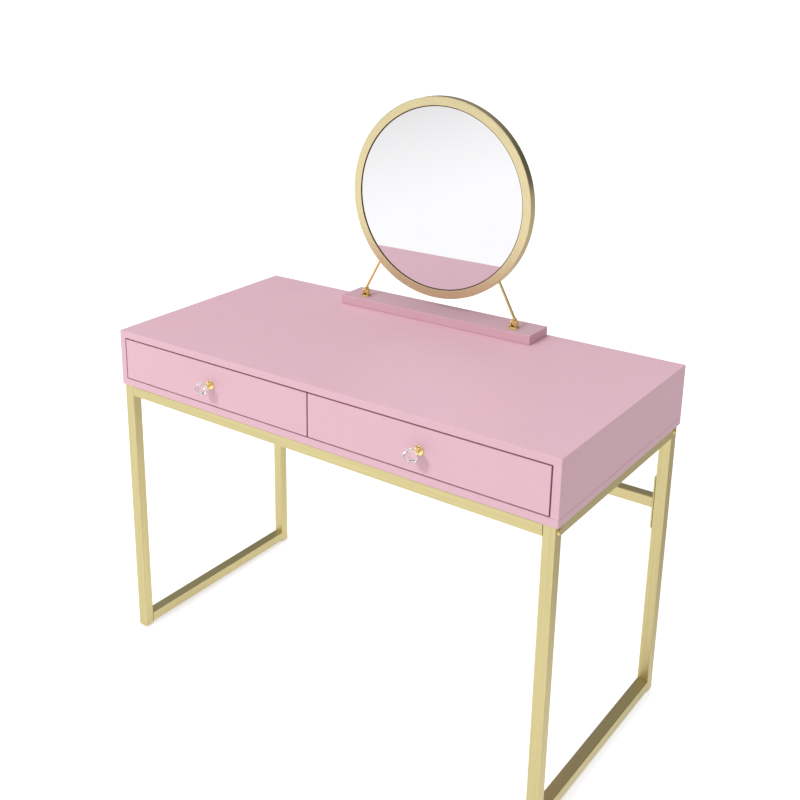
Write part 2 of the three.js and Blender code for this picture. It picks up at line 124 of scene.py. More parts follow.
class VanitySizes(bpy.types.PropertyGroup):
    panel_edge: length("Panel edge", "Rounding of the lacquered panels' edges", 1.0)
    board_edge: length("Board edge", "Rounding of the drawer boards' edges", 0.6)
    tube_corner: length("Tube corner", "Outer corner radius of the square tube", 2.0)
    tube_wall: length("Tube wall", "Wall of the square tube", 1.2)
    cut_edge: length("Cut edge", "Rounding where a tube or plate is cut", 0.3)
    ring_edge: length("Ring edge", "Rounding of the mirror ring's edges", 1.4)
    ring_lip: length("Ring lip", "Depth of the lip in front of the glass", 2.5)
    glass_cover: length("Glass cover", "How far the lip covers the glass", 5.0)
    # Painted shade: width of the dark band on the glass inside the lip, which stands for the shadow in the
    # gap under the lip.
    gap_shade_width: length("Gap shade width", "Dark line round the glass, inside the lip", 2.2)
    bead: length("Weld bead", "Radius of one weld bead", 0.9)
    screw_head: length("Screw head", "Radius of a small screw's head", 3.6)
    clip_width: length("Clip width", "Width of a clip behind the mirror", 11.0)
    clip_sheet: length("Clip sheet", "Thickness of a clip behind the mirror", 0.8)
    clips: IntProperty(name="Clips", description="Clips that hold the mirror's backing", default=6, min=3)
    facets: IntProperty(name="Facets", description="Facets round each crystal", default=14, min=6)
    facet_dent: share("Facet dent", "Radius of every second corner of a crystal, against the others", 0.86)
    round_steps: IntProperty(name="Round steps", description="Sides of a turned piece", default=48, min=12)


class VanityFinish(bpy.types.PropertyGroup):
    pink: colour("Pink", "Satin lacquer of the case and the mirror base", 241, 196, 210)
    # Painted shade: the mirror base's lacquer is darkened to stand for the shade that the mirror casts on the
    # base.
    base_shade_tone: share("Base shade tone", "Tone of the mirror base's lacquer against the case's", 0.84)
    # Painted shade: darkens the drawer fronts' narrow edges to stand for the shadow in the gaps round the
    # fronts.
    gap_shade_tone: share("Gap shade tone", "Tone of the drawer fronts' narrow edges against the case's", 0.7)
    pink_roughness: share("Lacquer roughness", "Roughness of the lacquer", 0.42)
    board: colour("Board", "Faced board inside the drawers", 226, 214, 214)
    satin_gold: colour("Satin gold", "Painted frame tube", 203, 191, 140)
    gold_roughness: share("Gold roughness", "Roughness of the frame tube", 0.36)
    bright_gold: colour("Bright gold", "Plated knobs, feet, rods and bolts", 242, 218, 142)
    champagne: colour("Champagne", "Brushed ring round the mirror", 218, 204, 160)
    silver: colour("Silvering", "Mirror glass", 240, 239, 241)
    backing: colour("Backing", "Hardboard behind the mirror", 118, 88, 62)
    zinc: colour("Zinc", "Drawer slides and inner screws", 190, 194, 198)
    plastic: colour("Plastic", "Translucent glides", 232, 236, 232)
    wear: share("Edge wear", "Strength of the wear along edges", 0.5)
    dust: share("Dust", "Strength of the dust on upward faces", 0.12)


def angle(name, description, degrees):
    return FloatProperty(
        name=name, description=description, default=math.radians(degrees), subtype="ANGLE", unit="ROTATION",
    )


class VanityStage(bpy.types.PropertyGroup):
    camera_place: FloatVectorProperty(
        name="Camera", description="Place of the camera", default=(1.2661, -1.8482, 1.5997),
        subtype="TRANSLATION", unit="LENGTH", size=3,
    )
    azimuth: angle("Azimuth", "0 looks along +Y", 40.6)
    elevation: angle("Elevation", "Height of the view", 16.95)
    roll: angle("Roll", "Turn about the view line", -1.075)
    lens: FloatProperty(name="Lens", description="Focal length in millimetres", default=49.366, min=1)
    shift_x: FloatProperty(name="Shift X", description="Sideways lens shift", default=0.16524)
    shift_y: FloatProperty(name="Shift Y", description="Upward lens shift", default=-0.13897)
    floor_side: length("Floor side", "Side of the square floor", 400000)
    key: FloatProperty(name="Key", description="Power of the key light", default=240, unit="POWER")
    sky: strength("Sky", "Strength of the studio's even light", 0.62)
    floor_glow: strength("Floor glow", "Light that the floor adds in direct view", 0.64)
    dark_side: share("Dark side", "Darkness of the floor's right and back in blurred reflections", 0.58)
    cards: strength("Cards", "Brightness left behind the studio's dark cards", 0.12)


def sizes():
    return bpy.context.scene.vanity_sizes


def finish():
    return bpy.context.scene.vanity_finish


# ---- shader node helpers ----


class Nodes:
    """Short calls for adding and linking the nodes of one tree."""

    def __init__(self, tree):
        self.tree = tree

    def add(self, kind, settings=None, **inputs):
        node = self.tree.nodes.new(kind)
        for name, value in (settings or {}).items():
            setattr(node, name, value)
        self.set(node, **inputs)
        return node

    def set(self, node, **inputs):
        for name, value in inputs.items():
            self.feed(node, name.replace("_", " "), value)

    def feed(self, node, name, value):
        """The name is a socket's own, or its number."""
        socket = node.inputs[name]
        if isinstance(value, bpy.types.NodeSocket):
            self.tree.links.new(value, socket)
        else:
            socket.default_value = value

    def work(self, kind, operation, *values):
        node = self.add(kind, {"operation": operation})
        for number, value in enumerate(values):
            self.feed(node, number, value)
        return node.outputs

    def math(self, operation, first, second):
        return self.work("ShaderNodeMath", operation, first, second)[0]

    def plus(self, first, second):
        return self.math("ADD", first, second)

    def minus(self, first, second):
        return self.math("SUBTRACT", first, second)

    def times(self, first, second):
        return self.math("MULTIPLY", first, second)

    def scaled(self, vector, factors):
        return self.work("ShaderNodeVectorMath", "MULTIPLY", vector, factors)[0]

    def split(self, vector):
        return self.add("ShaderNodeSeparateXYZ", Vector=vector).outputs

    def join(self, **axes):
        return self.add("ShaderNodeCombineXYZ", **axes).outputs[0]

    def remap(self, value, low, high, to_low=0.0, to_high=1.0):
        node = self.add("ShaderNodeMapRange", Value=value, From_Min=low, From_Max=high)
        self.set(node, To_Min=to_low, To_Max=to_high)
        return node.outputs["Result"]

    def mix(self, factor, first, second):
        node = self.add("ShaderNodeMix", {"data_type": "RGBA"})
        for number, value in ((0, factor), (6, first), (7, second)):
            self.feed(node, number, value)
        return node.outputs[2]

    def noise(self, vector, scale, detail=3.0, roughness=0.5):
        node = self.add("ShaderNodeTexNoise", Vector=vector, Scale=scale, Detail=detail, Roughness=roughness)
        return node.outputs["Fac"]

    def bump(self, height, strength, distance=0.2 * MM):
        node = self.add("ShaderNodeBump", Height=height, Strength=strength, Distance=distance)
        return node.outputs["Normal"]

    def cell(self, vector, scale):
        """A random value from 0 to 1 for each small cell."""
        cells = self.add("ShaderNodeTexVoronoi", {"feature": "F1"}, Vector=vector, Scale=scale)
        return self.split(cells.outputs["Color"])["X"]


def shade(rgb, factor=1.0, lift=0.0):
    """A colour with alpha, darker or lighter by a factor and a lift."""
    return (*(min(1.0, c * factor + lift) for c in rgb), 1.0)


def make_tree(kind, name, inputs, outputs):
    """A new node tree, its Nodes helper, its input sockets by name and its output node."""
    tree = bpy.data.node_groups.new(name, kind)
    for label, socket_type, default in inputs:
        socket = tree.interface.new_socket(label, in_out="INPUT", socket_type=socket_type)
        if default is not None:
            socket.default_value = default
    for label, socket_type in outputs:
        tree.interface.new_socket(label, in_out="OUTPUT", socket_type=socket_type)
    entry = tree.nodes.new("NodeGroupInput")
    leave = tree.nodes.new("NodeGroupOutput")
    return tree, Nodes(tree), {s.name: s for s in entry.outputs if s.name}, leave


FLOAT, VECTOR, COLOUR = "NodeSocketFloat", "NodeSocketVector", "NodeSocketColor"
INTEGER, MATERIAL, GEOMETRY = "NodeSocketInt", "NodeSocketMaterial", "NodeSocketGeometry"
SHADER_TREE = "ShaderNodeTree"


def tone_group():
    """Slow changes of tone over a surface, as in any sprayed or rolled finish."""
    tree, n, given, leave = make_tree(
        SHADER_TREE, "Tone variation",
        [("Colour", COLOUR, None), ("Vector", VECTOR, None), ("Scale", FLOAT, 4.0), ("Amount", FLOAT, 0.05)],
        [("Colour", COLOUR)],
    )
    cloud = n.noise(given["Vector"], given["Scale"], 4.0, 0.55)
    level = n.plus(n.times(n.minus(cloud, 0.5), given["Amount"]), 1.0)
    shifted = n.add("ShaderNodeVectorMath", {"operation": "SCALE"}, Vector=given["Colour"], Scale=level)
    n.set(leave, Colour=shifted.outputs[0])
    return tree


def peel_group():
    """The fine ripple of a sprayed coat, as a normal."""
    tree, n, given, leave = make_tree(
        SHADER_TREE, "Sprayed ripple",
        [("Vector", VECTOR, None), ("Ripple", FLOAT, 260.0), ("Height", FLOAT, 0.05)],
        [("Normal", VECTOR), ("Speckle", FLOAT)],
    )
    broad = n.noise(given["Vector"], given["Ripple"], 2.0, 0.4)
    fine = n.noise(given["Vector"], n.times(given["Ripple"], 7.0), 2.0, 0.6)
    height = n.plus(n.times(broad, 0.75), n.times(fine, 0.25))
    n.set(leave, Normal=n.bump(height, given["Height"], 0.4 * MM), Speckle=fine)
    return tree


def brush_group():
    """Fine parallel lines that run where the vector changes slowly."""
    tree, n, given, leave = make_tree(
        SHADER_TREE, "Brushed lines",
        [("Vector", VECTOR, None), ("Lines", FLOAT, 900.0), ("Run", FLOAT, 6.0), ("Height", FLOAT, 0.05)],
        [("Normal", VECTOR), ("Lines", FLOAT)],
    )
    stretch = n.join(X=given["Run"], Y=given["Lines"], Z=given["Lines"])
    lines = n.noise(n.scaled(given["Vector"], stretch), 1.0, 6.0, 0.62)
    n.set(leave, Normal=n.bump(lines, given["Height"]), Lines=lines)
    return tree


def wear_group():
    """A mask of worn edges: the piece's own edge attribute, broken up by noise."""
    tree, n, given, leave = make_tree(
        SHADER_TREE, "Edge wear", [("Vector", VECTOR, None), ("Amount", FLOAT, 0.5)], [("Mask", FLOAT)],
    )
    edge = n.add("ShaderNodeAttribute", {"attribute_name": "edge"}).outputs["Fac"]
    patches = n.remap(n.noise(given["Vector"], 38.0, 5.0, 0.7), 0.42, 0.66)
    n.set(leave, Mask=n.math("MINIMUM", n.times(n.times(edge, patches), given["Amount"]), 1.0))
    return tree


def dust_group():
    """A mask of fine dust on faces that look up."""
    tree, n, given, leave = make_tree(
        SHADER_TREE, "Dust", [("Vector", VECTOR, None), ("Amount", FLOAT, 0.1)], [("Mask", FLOAT)],
    )
    up = n.remap(n.split(n.add("ShaderNodeNewGeometry").outputs["Normal"])["Z"], 0.7, 1.0)
    cloud = n.remap(n.noise(given["Vector"], 7.0, 5.0, 0.6), 0.35, 0.75)
    grit = n.remap(n.noise(given["Vector"], 900.0, 1.0, 0.5), 0.52, 0.72)
    settled = n.times(up, n.plus(n.times(cloud, 0.5), grit))
    n.set(leave, Mask=n.times(settled, given["Amount"]))
    return tree


def scratch_group():
    """Thin hairlines and smudges in a polished face, as a roughness value and a normal."""
    tree, n, given, leave = make_tree(
        SHADER_TREE, "Hairlines",
        [("Vector", VECTOR, None), ("Base", FLOAT, 0.15), ("Amount", FLOAT, 0.1), ("Height", FLOAT, 0.03)],
        [("Roughness", FLOAT), ("Normal", VECTOR)],
    )
    one = n.noise(n.scaled(given["Vector"], (2500.0, 140.0, 500.0)), 1.0, 3.0, 0.6)
    two = n.noise(n.scaled(given["Vector"], (180.0, 1900.0, 2400.0)), 1.0, 3.0, 0.6)
    lines = n.math("MAXIMUM", n.remap(one, 0.6, 0.8), n.remap(two, 0.6, 0.8))
    smudge = n.remap(n.noise(given["Vector"], 90.0, 3.0, 0.6), 0.4, 0.7)
    added = n.times(n.plus(lines, n.times(smudge, 0.6)), given["Amount"])
    n.set(leave, Roughness=n.plus(given["Base"], added), Normal=n.bump(lines, given["Height"]))
    return tree


GROUP_MAKERS = {
    "Tone variation": tone_group,
    "Sprayed ripple": peel_group,
    "Brushed lines": brush_group,
    "Edge wear": wear_group,
    "Dust": dust_group,
    "Hairlines": scratch_group,
}


def use_group(n, name, **inputs):
    """Puts the named group, made on first use, into a material with its own values."""
    tree = bpy.data.node_groups.get(name) or GROUP_MAKERS[name]()
    return n.add("ShaderNodeGroup", {"node_tree": tree}, **inputs).outputs


def start_material(name):
    """A new material with one Principled shader, its Nodes helper and its Object coordinates."""
    material = bpy.data.materials.new(name)
    material.use_nodes = True
    n = Nodes(material.node_tree)
    shader = material.node_tree.nodes["Principled BSDF"]
    place = n.add("ShaderNodeTexCoord").outputs["Object"]
    return material, n, shader, place


def wear_and_dust(n, place):
    worn = use_group(n, "Edge wear", Vector=place, Amount=finish().wear)["Mask"]
    return worn, use_group(n, "Dust", Vector=place, Amount=finish().dust)["Mask"]


def toned(n, place, rgb, scale, amount):
    varied = use_group(n, "Tone variation", Colour=shade(rgb), Vector=place, Scale=scale, Amount=amount)
    return varied["Colour"]


def painted(name, rgb, roughness, ripple=0.06, coat=0.0):
    """Sprayed lacquer with ripple, slow tone changes, thin paint on the edges and a little dust."""
    material, n, shader, place = start_material(name)
    peel = use_group(n, "Sprayed ripple", Vector=place, Ripple=260.0, Height=ripple)
    worn, dust = wear_and_dust(n, place)
    speckle = n.remap(peel["Speckle"], 0.35, 0.8, 0.0, 0.14)
    sprayed = n.mix(speckle, toned(n, place, rgb, 3.0, 0.05), shade(rgb, 0.93))
    coated = n.mix(dust, n.mix(worn, sprayed, shade(rgb, 1.12, 0.02)), (0.72, 0.69, 0.68, 1.0))
    rough = n.remap(n.noise(place, 22.0, 4.0, 0.6), 0.3, 0.7, roughness - 0.04, roughness + 0.05)
    n.set(shader, Base_Color=coated, Roughness=n.plus(rough, n.times(dust, 0.5)), Normal=peel["Normal"],
          Coat_Weight=coat, Coat_Roughness=0.3, IOR=1.38)
    return material


def faced_board(name, rgb):
    """Foil-faced board with a faint wood figure along its length."""
    material, n, shader, place = start_material(name)
    wavy = n.noise(place, 9.0, 3.0, 0.5)
    figure = n.noise(n.scaled(place, (14.0, 14.0, 160.0)), 1.0, 5.0, 0.6)
    pores = n.remap(n.noise(n.scaled(place, (90.0, 90.0, 1400.0)), 1.0, 2.0, 0.5), 0.6, 0.8)
    lines = n.plus(n.times(figure, 0.8), n.times(wavy, 0.2))
    face = n.mix(n.remap(lines, 0.35, 0.7), shade(rgb), shade(rgb, 0.84))
    face = n.mix(n.times(pores, 0.35), face, shade(rgb, 0.7))
    n.set(shader, Base_Color=face, Roughness=n.remap(lines, 0.3, 0.7, 0.48, 0.62),
          Normal=n.bump(n.minus(1.0, pores), 0.2))
    return material


def satin_gold(name, rgb, roughness):
    """Gold paint on drawn tube: fine lines along the tube, metal flake and rubbed corners."""
    material, n, shader, place = start_material(name)
    along = n.add("ShaderNodeUVMap", {"uv_map": "UVMap"}).outputs[0]
    brushed = use_group(n, "Brushed lines", Vector=along, Lines=330.0, Run=2.5, Height=0.08)
    lines = brushed["Lines"]
    worn, dust = wear_and_dust(n, place)
    spark = n.cell(place, 2600.0)
    streaked = n.mix(n.remap(lines, 0.35, 0.65, 0.0, 0.45), toned(n, place, rgb, 5.0, 0.08), shade(rgb, 0.8))
    bright = n.mix(n.times(spark, 0.12), streaked, shade(rgb, 1.25))
    body = n.mix(worn, bright, shade(rgb, 1.18, 0.03))
    rough = n.plus(n.remap(lines, 0.3, 0.7, roughness - 0.05, roughness + 0.07), n.times(spark, 0.06))
    n.set(shader, Base_Color=n.mix(dust, body, (0.62, 0.6, 0.57, 1.0)), Metallic=1.0,
          Roughness=n.minus(rough, n.times(worn, 0.12)), Normal=brushed["Normal"])
    return material


def polished(name, rgb, roughness=0.14):
    """Plated and polished metal with hairlines, smudges and a darker tone in its worn patches."""
    material, n, shader, place = start_material(name)
    lines = use_group(n, "Hairlines", Vector=place, Base=roughness, Amount=0.16, Height=0.05)
    tarnish = n.remap(n.noise(place, 240.0, 4.0, 0.7), 0.55, 0.75, 0.0, 0.35)
    n.set(shader, Base_Color=n.mix(tarnish, toned(n, place, rgb, 60.0, 0.12), shade(rgb, 0.62)), Metallic=1.0,
          Roughness=lines["Roughness"], Normal=lines["Normal"])
    return material


def across_y(n, place, centre):
    """Places from a centre: their axes, their vector in the plane across Y, and its length."""
    local = n.add("ShaderNodeMapping", {"vector_type": "POINT"}, Vector=place, Location=[-c for c in centre])
    axes = n.split(local.outputs[0])
    flat = n.join(X=axes["X"], Z=axes["Z"])
    return axes, flat, n.work("ShaderNodeVectorMath", "LENGTH", flat)["Value"]


def ring_brushing(name, rgb, centre, roughness=0.3):
    """Brushed metal whose lines run round a centre, in the plane across Y."""
    material, n, shader, place = start_material(name)
    axes, flat, radius = across_y(n, place, centre)
    way = n.split(n.work("ShaderNodeVectorMath", "NORMALIZE", flat)[0])
    fine, run = 1900.0, 9.0
    across = n.join(X=n.times(radius, fine), Y=n.times(axes["Y"], fine), Z=n.times(way["X"], run))
    lines = n.add("ShaderNodeTexNoise", {"noise_dimensions": "4D"}, Vector=across, W=n.times(way["Z"], run),
                  Scale=1.0, Detail=4.0, Roughness=0.65).outputs["Fac"]
    streaks = n.remap(lines, 0.35, 0.7, 0.0, 0.35)
    n.set(shader, Base_Color=n.mix(streaks, toned(n, place, rgb, 9.0, 0.12), shade(rgb, 0.74)), Metallic=1.0,
          Roughness=n.remap(lines, 0.3, 0.7, roughness - 0.06, roughness + 0.1), Normal=n.bump(lines, 0.16))
    return material


def mirror_silver(name, rgb, centre, clear_radius):
    """Silvered glass with a trace of dust, its silver ending in a dark band inside the lip: painted shade
    that stands for the shadow in the gap under the lip.
    """
    material, n, shader, place = start_material(name)
    _, _, radius = across_y(n, place, centre)
    # Painted shade: a dark band at the glass's rim, in place of the shadow in the gap under the ring's lip.
    painted_gap_shade = n.remap(radius, clear_radius - 0.2 * MM, clear_radius)
    grit = n.remap(n.noise(place, 700.0, 2.0, 0.5), 0.68, 0.78)
    smear = n.remap(n.noise(place, 11.0, 4.0, 0.6), 0.4, 0.8, 0.0, 0.02)
    clean = n.mix(n.plus(n.times(grit, 0.05), smear), shade(rgb), (0.7, 0.7, 0.7, 1))
    n.set(shader, Base_Color=n.mix(painted_gap_shade, clean, shade(from_display(74, 62, 44))), Metallic=1.0,
          Roughness=n.times(painted_gap_shade, 0.5))
    return material


def hardboard(name, rgb):
    """Pressed fibre board: mottled brown with short pale fibres."""
    material, n, shader, place = start_material(name)
    mottle = n.noise(place, 60.0, 5.0, 0.7)
    fibres = n.remap(n.noise(n.scaled(place, (900.0, 120.0, 260.0)), 1.0, 3.0, 0.6), 0.55, 0.72)
    face = n.mix(n.remap(mottle, 0.3, 0.7), shade(rgb, 0.75), shade(rgb, 1.2))
    n.set(shader, Base_Color=n.mix(n.times(fibres, 0.4), face, shade(rgb, 1.9)),
          Roughness=n.remap(mottle, 0.3, 0.7, 0.7, 0.9),
          Normal=n.bump(n.plus(mottle, fibres), 0.35, 0.3 * MM))
    return material


def zinc_plate(name, rgb):
    """Zinc-plated sheet: small spangle patches and rolling lines."""
    material, n, shader, place = start_material(name)
    spangle = n.cell(place, 420.0)
    lines = use_group(n, "Hairlines", Vector=place, Base=0.3, Amount=0.14, Height=0.05)
    face = n.mix(n.times(spangle, 0.25), toned(n, place, rgb, 18.0, 0.12), shade(rgb, 0.75))
    n.set(shader, Base_Color=face, Roughness=n.plus(lines["Roughness"], n.times(spangle, 0.08)),
          Normal=lines["Normal"], Metallic=1.0)
    return material


def crystal_glass(name):
    """Clear cut crystal with the faintest haze."""
    material, n, shader, place = start_material(name)
    haze = n.remap(n.noise(place, 160.0, 3.0, 0.6), 0.6, 0.8, 0.0, 0.03)
    tint = n.mix(n.remap(n.noise(place, 30.0, 2.0, 0.5), 0.3, 0.7), (1, 1, 1, 1), (0.97, 0.975, 1.0, 1))
    n.set(shader, Base_Color=tint, Roughness=haze, Transmission_Weight=1.0, IOR=1.62)
    return material


def frosted_plastic(name, rgb):
    """Milky translucent plastic, scuffed where it meets the floor."""
    material, n, shader, place = start_material(name)
    peel = use_group(n, "Sprayed ripple", Vector=place, Ripple=500.0, Height=0.2)
    low = n.remap(n.split(place)["Z"], 2.5 * MM, 0.0)
    scuffs = n.times(low, n.remap(n.noise(place, 300.0, 4.0, 0.7), 0.4, 0.7))
    n.set(shader, Base_Color=n.mix(n.times(scuffs, 0.5), shade(rgb), (0.45, 0.42, 0.38, 1)),
          Roughness=n.remap(scuffs, 0.0, 1.0, 0.3, 0.6), Normal=peel["Normal"],
          Transmission_Weight=0.55, IOR=1.49)
    return material


def middle(node):
    low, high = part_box(node)
    return (low + high) / 2


def material(name):
    """The named finish, made on first use."""
    found = bpy.data.materials.get(name)
    if found:
        return found
    f, s = finish(), sizes()
    ring = middle("mirror_ring")
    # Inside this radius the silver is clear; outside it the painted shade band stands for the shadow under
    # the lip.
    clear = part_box("mirror_glass")[1].x - ring.x - s.glass_cover + GLASS_PLAY - s.gap_shade_width
    makers = {
        "Pink lacquer": lambda: painted(name, f.pink, f.pink_roughness, coat=0.05),
        # Painted shade: a darker copy of the case's lacquer, standing for the shade that the mirror casts on
        # its base.
        "Shaded base lacquer": lambda: painted(name, [c * f.base_shade_tone for c in f.pink], f.pink_roughness, coat=0.05),
        # Painted shade: a darker copy of the case's lacquer for the fronts' narrow edges, standing for the
        # shadow in the gaps.
        "Gap shade lacquer": lambda: painted(name, [c ** 1.5 * f.gap_shade_tone for c in f.pink], 0.6, ripple=0.12),
        "Faced board": lambda: faced_board(name, f.board),
        "Satin gold paint": lambda: satin_gold(name, f.satin_gold, f.gold_roughness),
        "Polished gold": lambda: polished(name, f.bright_gold),
        "Brushed champagne": lambda: ring_brushing(name, f.champagne, ring),
        "Cut crystal": lambda: crystal_glass(name),
        "Silvered glass": lambda: mirror_silver(name, f.silver, ring, clear),
        "Hardboard": lambda: hardboard(name, f.backing),
        "Zinc plate": lambda: zinc_plate(name, f.zinc),
        "Milky plastic": lambda: frosted_plastic(name, f.plastic),
    }
    return makers[name]()


# ---- mesh helpers ----


def body_of_node(node):
    return frame["nodes"][node]["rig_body"]


def add_object(name, data):
    obj = bpy.data.objects.new(name, data)
    bpy.context.scene.collection.objects.link(obj)
    return obj


def settle(obj, finish_name, body, *nodes):
    """Gives a finished mesh its material and its body, and hides the CAD nodes that it stands for."""
    if not obj.data.materials:
        obj.data.materials.append(material(finish_name))
    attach(obj, body)
    if nodes:
        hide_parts(*nodes)
    return obj


def stand_in(node, shape, finish_name):
    """Settles a mesh, or an object made from meshes, in place of one CAD node."""
    obj = add_object(f"{node}_finish", shape) if isinstance(shape, bpy.types.Mesh) else shape
    return settle(obj, finish_name, body_of_node(node), node)


def shade_mesh(mesh, smooth_angle=SMOOTH_ANGLE):
    mesh.shade_smooth()
    mesh.set_sharp_from_angle(angle=math.radians(smooth_angle))


def mesh_from(bm, name, smooth_angle=SMOOTH_ANGLE):
    """Turns a bmesh into a mesh with sharp edges over an angle."""
    bmesh.ops.recalc_face_normals(bm, faces=bm.faces)
    mesh = bpy.data.meshes.new(name)
    bm.to_mesh(mesh)
    bm.free()
    shade_mesh(mesh, smooth_angle)
    return mesh


def grain_uv(mesh, axis):
    """A UV map in metres: U runs along the axis and V round the piece."""
    layer = mesh.uv_layers.get("UVMap") or mesh.uv_layers.new(name="UVMap")
    one, two = [a for a in (X, Y, Z) if a != axis]
    for loop in mesh.loops:
        point = mesh.vertices[loop.vertex_index].co
        layer.data[loop.index].uv = (point[axis], point[one] + point[two])


def store_edge(mesh, values):
    mesh.attributes.new("edge", "FLOAT", "POINT").data.foreach_set("value", values)


def rounded_box(name, low, high, radius, segments=3):
    """A box with every edge rounded, its normals exact and its edge attribute 1 along the rounding."""
    low, high = Vector(low), Vector(high)
    radius = min(radius, 0.45 * min(high - low))
    bm = bmesh.new()
    bmesh.ops.create_cube(bm, size=1.0)
    middle, span = (low + high) / 2, high - low
    for v in bm.verts:
        v.co = Vector(v.co[i] * span[i] + middle[i] for i in range(3))
    bmesh.ops.bevel(bm, geom=bm.edges[:], offset=radius, segments=segments, profile=0.5, affect="EDGES",
                    offset_type="OFFSET")
    mesh = mesh_from(bm, name, 180.0)
    normals, edge = [], []
    for v in mesh.vertices:
        inner = Vector(min(max(v.co[i], low[i] + radius), high[i] - radius) for i in range(3))
        away = v.co - inner
        normals.append(away.normalized())
        edge.append(float(sum(abs(c) > 0.02 * radius for c in away) > 1))
    mesh.normals_split_custom_set_from_vertices(normals)
    store_edge(mesh, edge)
    return mesh


def long_axis(node):
    low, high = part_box(node)
    return max((X, Y, Z), key=lambda axis: high[axis] - low[axis])


def box_piece(node, finish_name, radius, raised=0.0, segments=3):
    """A rounded box in place of a plain CAD board or plate, its top raised into the board above."""
    low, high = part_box(node)
    mesh = rounded_box(f"{node}_mesh", low, high + AXES[Z] * raised, radius, segments)
    grain_uv(mesh, long_axis(node))
    return stand_in(node, mesh, finish_name)


def arc(centre, radius, start, end, steps):
    """Points of an arc in a plane, angles in degrees."""
    angles = [math.radians(start + (end - start) * i / steps) for i in range(steps + 1)]
    return [(centre[0] + radius * math.cos(a), centre[1] + radius * math.sin(a)) for a in angles]


def square_outline(half, radius, steps):
    """A square with round corners: points, outward normals and edge marks."""
    points = []
    for quarter, (sx, sy) in enumerate(((1, 1), (-1, 1), (-1, -1), (1, -1))):
        centre = (sx * (half - radius), sy * (half - radius))
        ring = arc(centre, radius, 90 * quarter, 90 * quarter + 90, steps)
        points += [(p, ((p[0] - centre[0]) / radius, (p[1] - centre[1]) / radius), 0 < i < steps)
                   for i, p in enumerate(ring)]
    return points


def tube_mesh(name, low, high, axis, steps=4):
    """An open square tube along an axis, its corners rounded inside and out and its cut ends eased."""
    s = sizes()
    low, high = Vector(low), Vector(high)
    one, two = [a for a in (X, Y, Z) if a != axis]
    centre = (low + high) / 2
    half = (high[one] - low[one]) / 2
    outer = (half, s.tube_corner, 1, low[axis], high[axis])
    inner = (half - s.tube_wall, max(s.tube_corner - s.tube_wall, 0.3 * MM), -1, high[axis], low[axis])
    bm = bmesh.new()
    rings, normals, edge = [], [], []
    for size, corner, sign, start, end in (outer, inner):
        step = sign * s.cut_edge
        for place, inset in ((start, step), (start + step, 0), (end - step, 0), (end, step)):
            ring = []
            for (u, v), (nu, nv), marked in square_outline(size - inset, corner, steps):
                point, normal = Vector(), Vector()
                point[axis], point[one], point[two] = place, centre[one] + u, centre[two] + v
                normal[one], normal[two] = sign * nu, sign * nv
                ring.append(bm.verts.new(point))
                normals.append(normal)
                edge.append(float(marked))
            rings.append(ring)
    for a, b in zip(rings, rings[1:] + rings[:1]):
        for i in range(len(a)):
            j = (i + 1) % len(a)
            bm.faces.new((a[i], a[j], b[j], b[i]))
    mesh = mesh_from(bm, name, 50.0)
    mesh.normals_split_custom_set_from_vertices(normals)
    store_edge(mesh, edge)
    grain_uv(mesh, axis)
    return mesh


def turned(bm, profile, centre, axis, steps):
    """Adds a solid turned about an axis through centre, from (radius, along) points, to a bmesh."""
    one = AXES[(axis + 1) % 3]
    two = AXES[(axis + 2) % 3]
    angles = [2 * math.pi * i / steps for i in range(steps)]
    rings = []
    for radius, along in profile:
        base = Vector(centre) + AXES[axis] * along
        ways = [one * math.cos(a) + two * math.sin(a) for a in angles] if radius > 0 else [Vector()]
        rings.append([bm.verts.new(base + way * radius) for way in ways])
    for a, b in zip(rings, rings[1:]):
        for i in range(steps):
            j = (i + 1) % steps
            corners = [a[i % len(a)], a[j % len(a)], b[j % len(b)], b[i % len(b)]]
            bm.faces.new(list(dict.fromkeys(corners)))


def drum(radius, low, high):
    return [(0, low), (radius, low), (radius, high), (0, high)]


def dome(radius, low, high, angles):
    """The side of a rounded end, from its rim at low towards its top at high."""
    turns = [math.radians(a) for a in angles]
    return [(radius * math.cos(a), low + (high - low) * math.sin(a)) for a in turns]


def turned_mesh(name, profile, centre, axis, steps, smooth_angle=SMOOTH_ANGLE):
    bm = bmesh.new()
    turned(bm, profile, centre, axis, steps)
    mesh = mesh_from(bm, name, smooth_angle)
    grain_uv(mesh, axis)
    return mesh


def rounded_slab(name, outline, x_low, x_high, ease):
    """A flat plate across X from [y, z] points, its edges eased."""
    bm = bmesh.new()
    face = bm.faces.new([bm.verts.new((x_low, y, z)) for y, z in outline])
    grown = bmesh.ops.extrude_face_region(bm, geom=[face])
    top = [g for g in grown["geom"] if isinstance(g, bmesh.types.BMVert)]
    bmesh.ops.translate(bm, verts=top, vec=(x_high - x_low, 0, 0))
    bmesh.ops.recalc_face_normals(bm, faces=bm.faces)
    rims = [e for e in bm.edges if abs(e.verts[0].co.x - e.verts[1].co.x) < 1e-9]
    bmesh.ops.bevel(bm, geom=rims, offset=ease, segments=2, profile=0.5, affect="EDGES")
    return mesh_from(bm, name)


def unite(name, meshes, cuts=()):
    """One closed mesh from several that overlap, less the cut ones."""
    base = add_object(name, meshes[0])
    tools = []
    for mesh, operation in [(m, "UNION") for m in meshes[1:]] + [(m, "DIFFERENCE") for m in cuts]:
        tool = add_object(f"{name}_tool", mesh)
        tools.append(tool)
        step = base.modifiers.new("join", "BOOLEAN")
        step.operation, step.object, step.solver = operation, tool, "EXACT"
    bake(base)
    for tool in tools:
        bpy.data.objects.remove(tool)
    shade_mesh(base.data)
    flatten_shading(base)
    grain_uv(base.data, Z)
    return base


def bake(obj):
    """Applies every modifier of an object and leaves a plain mesh."""
    bpy.context.view_layer.update()
    graph = bpy.context.evaluated_depsgraph_get()
    shown = obj.evaluated_get(graph)
    mesh = bpy.data.meshes.new_from_object(shown, preserve_all_data_layers=True, depsgraph=graph)
    obj.modifiers.clear()
    obj.data = mesh


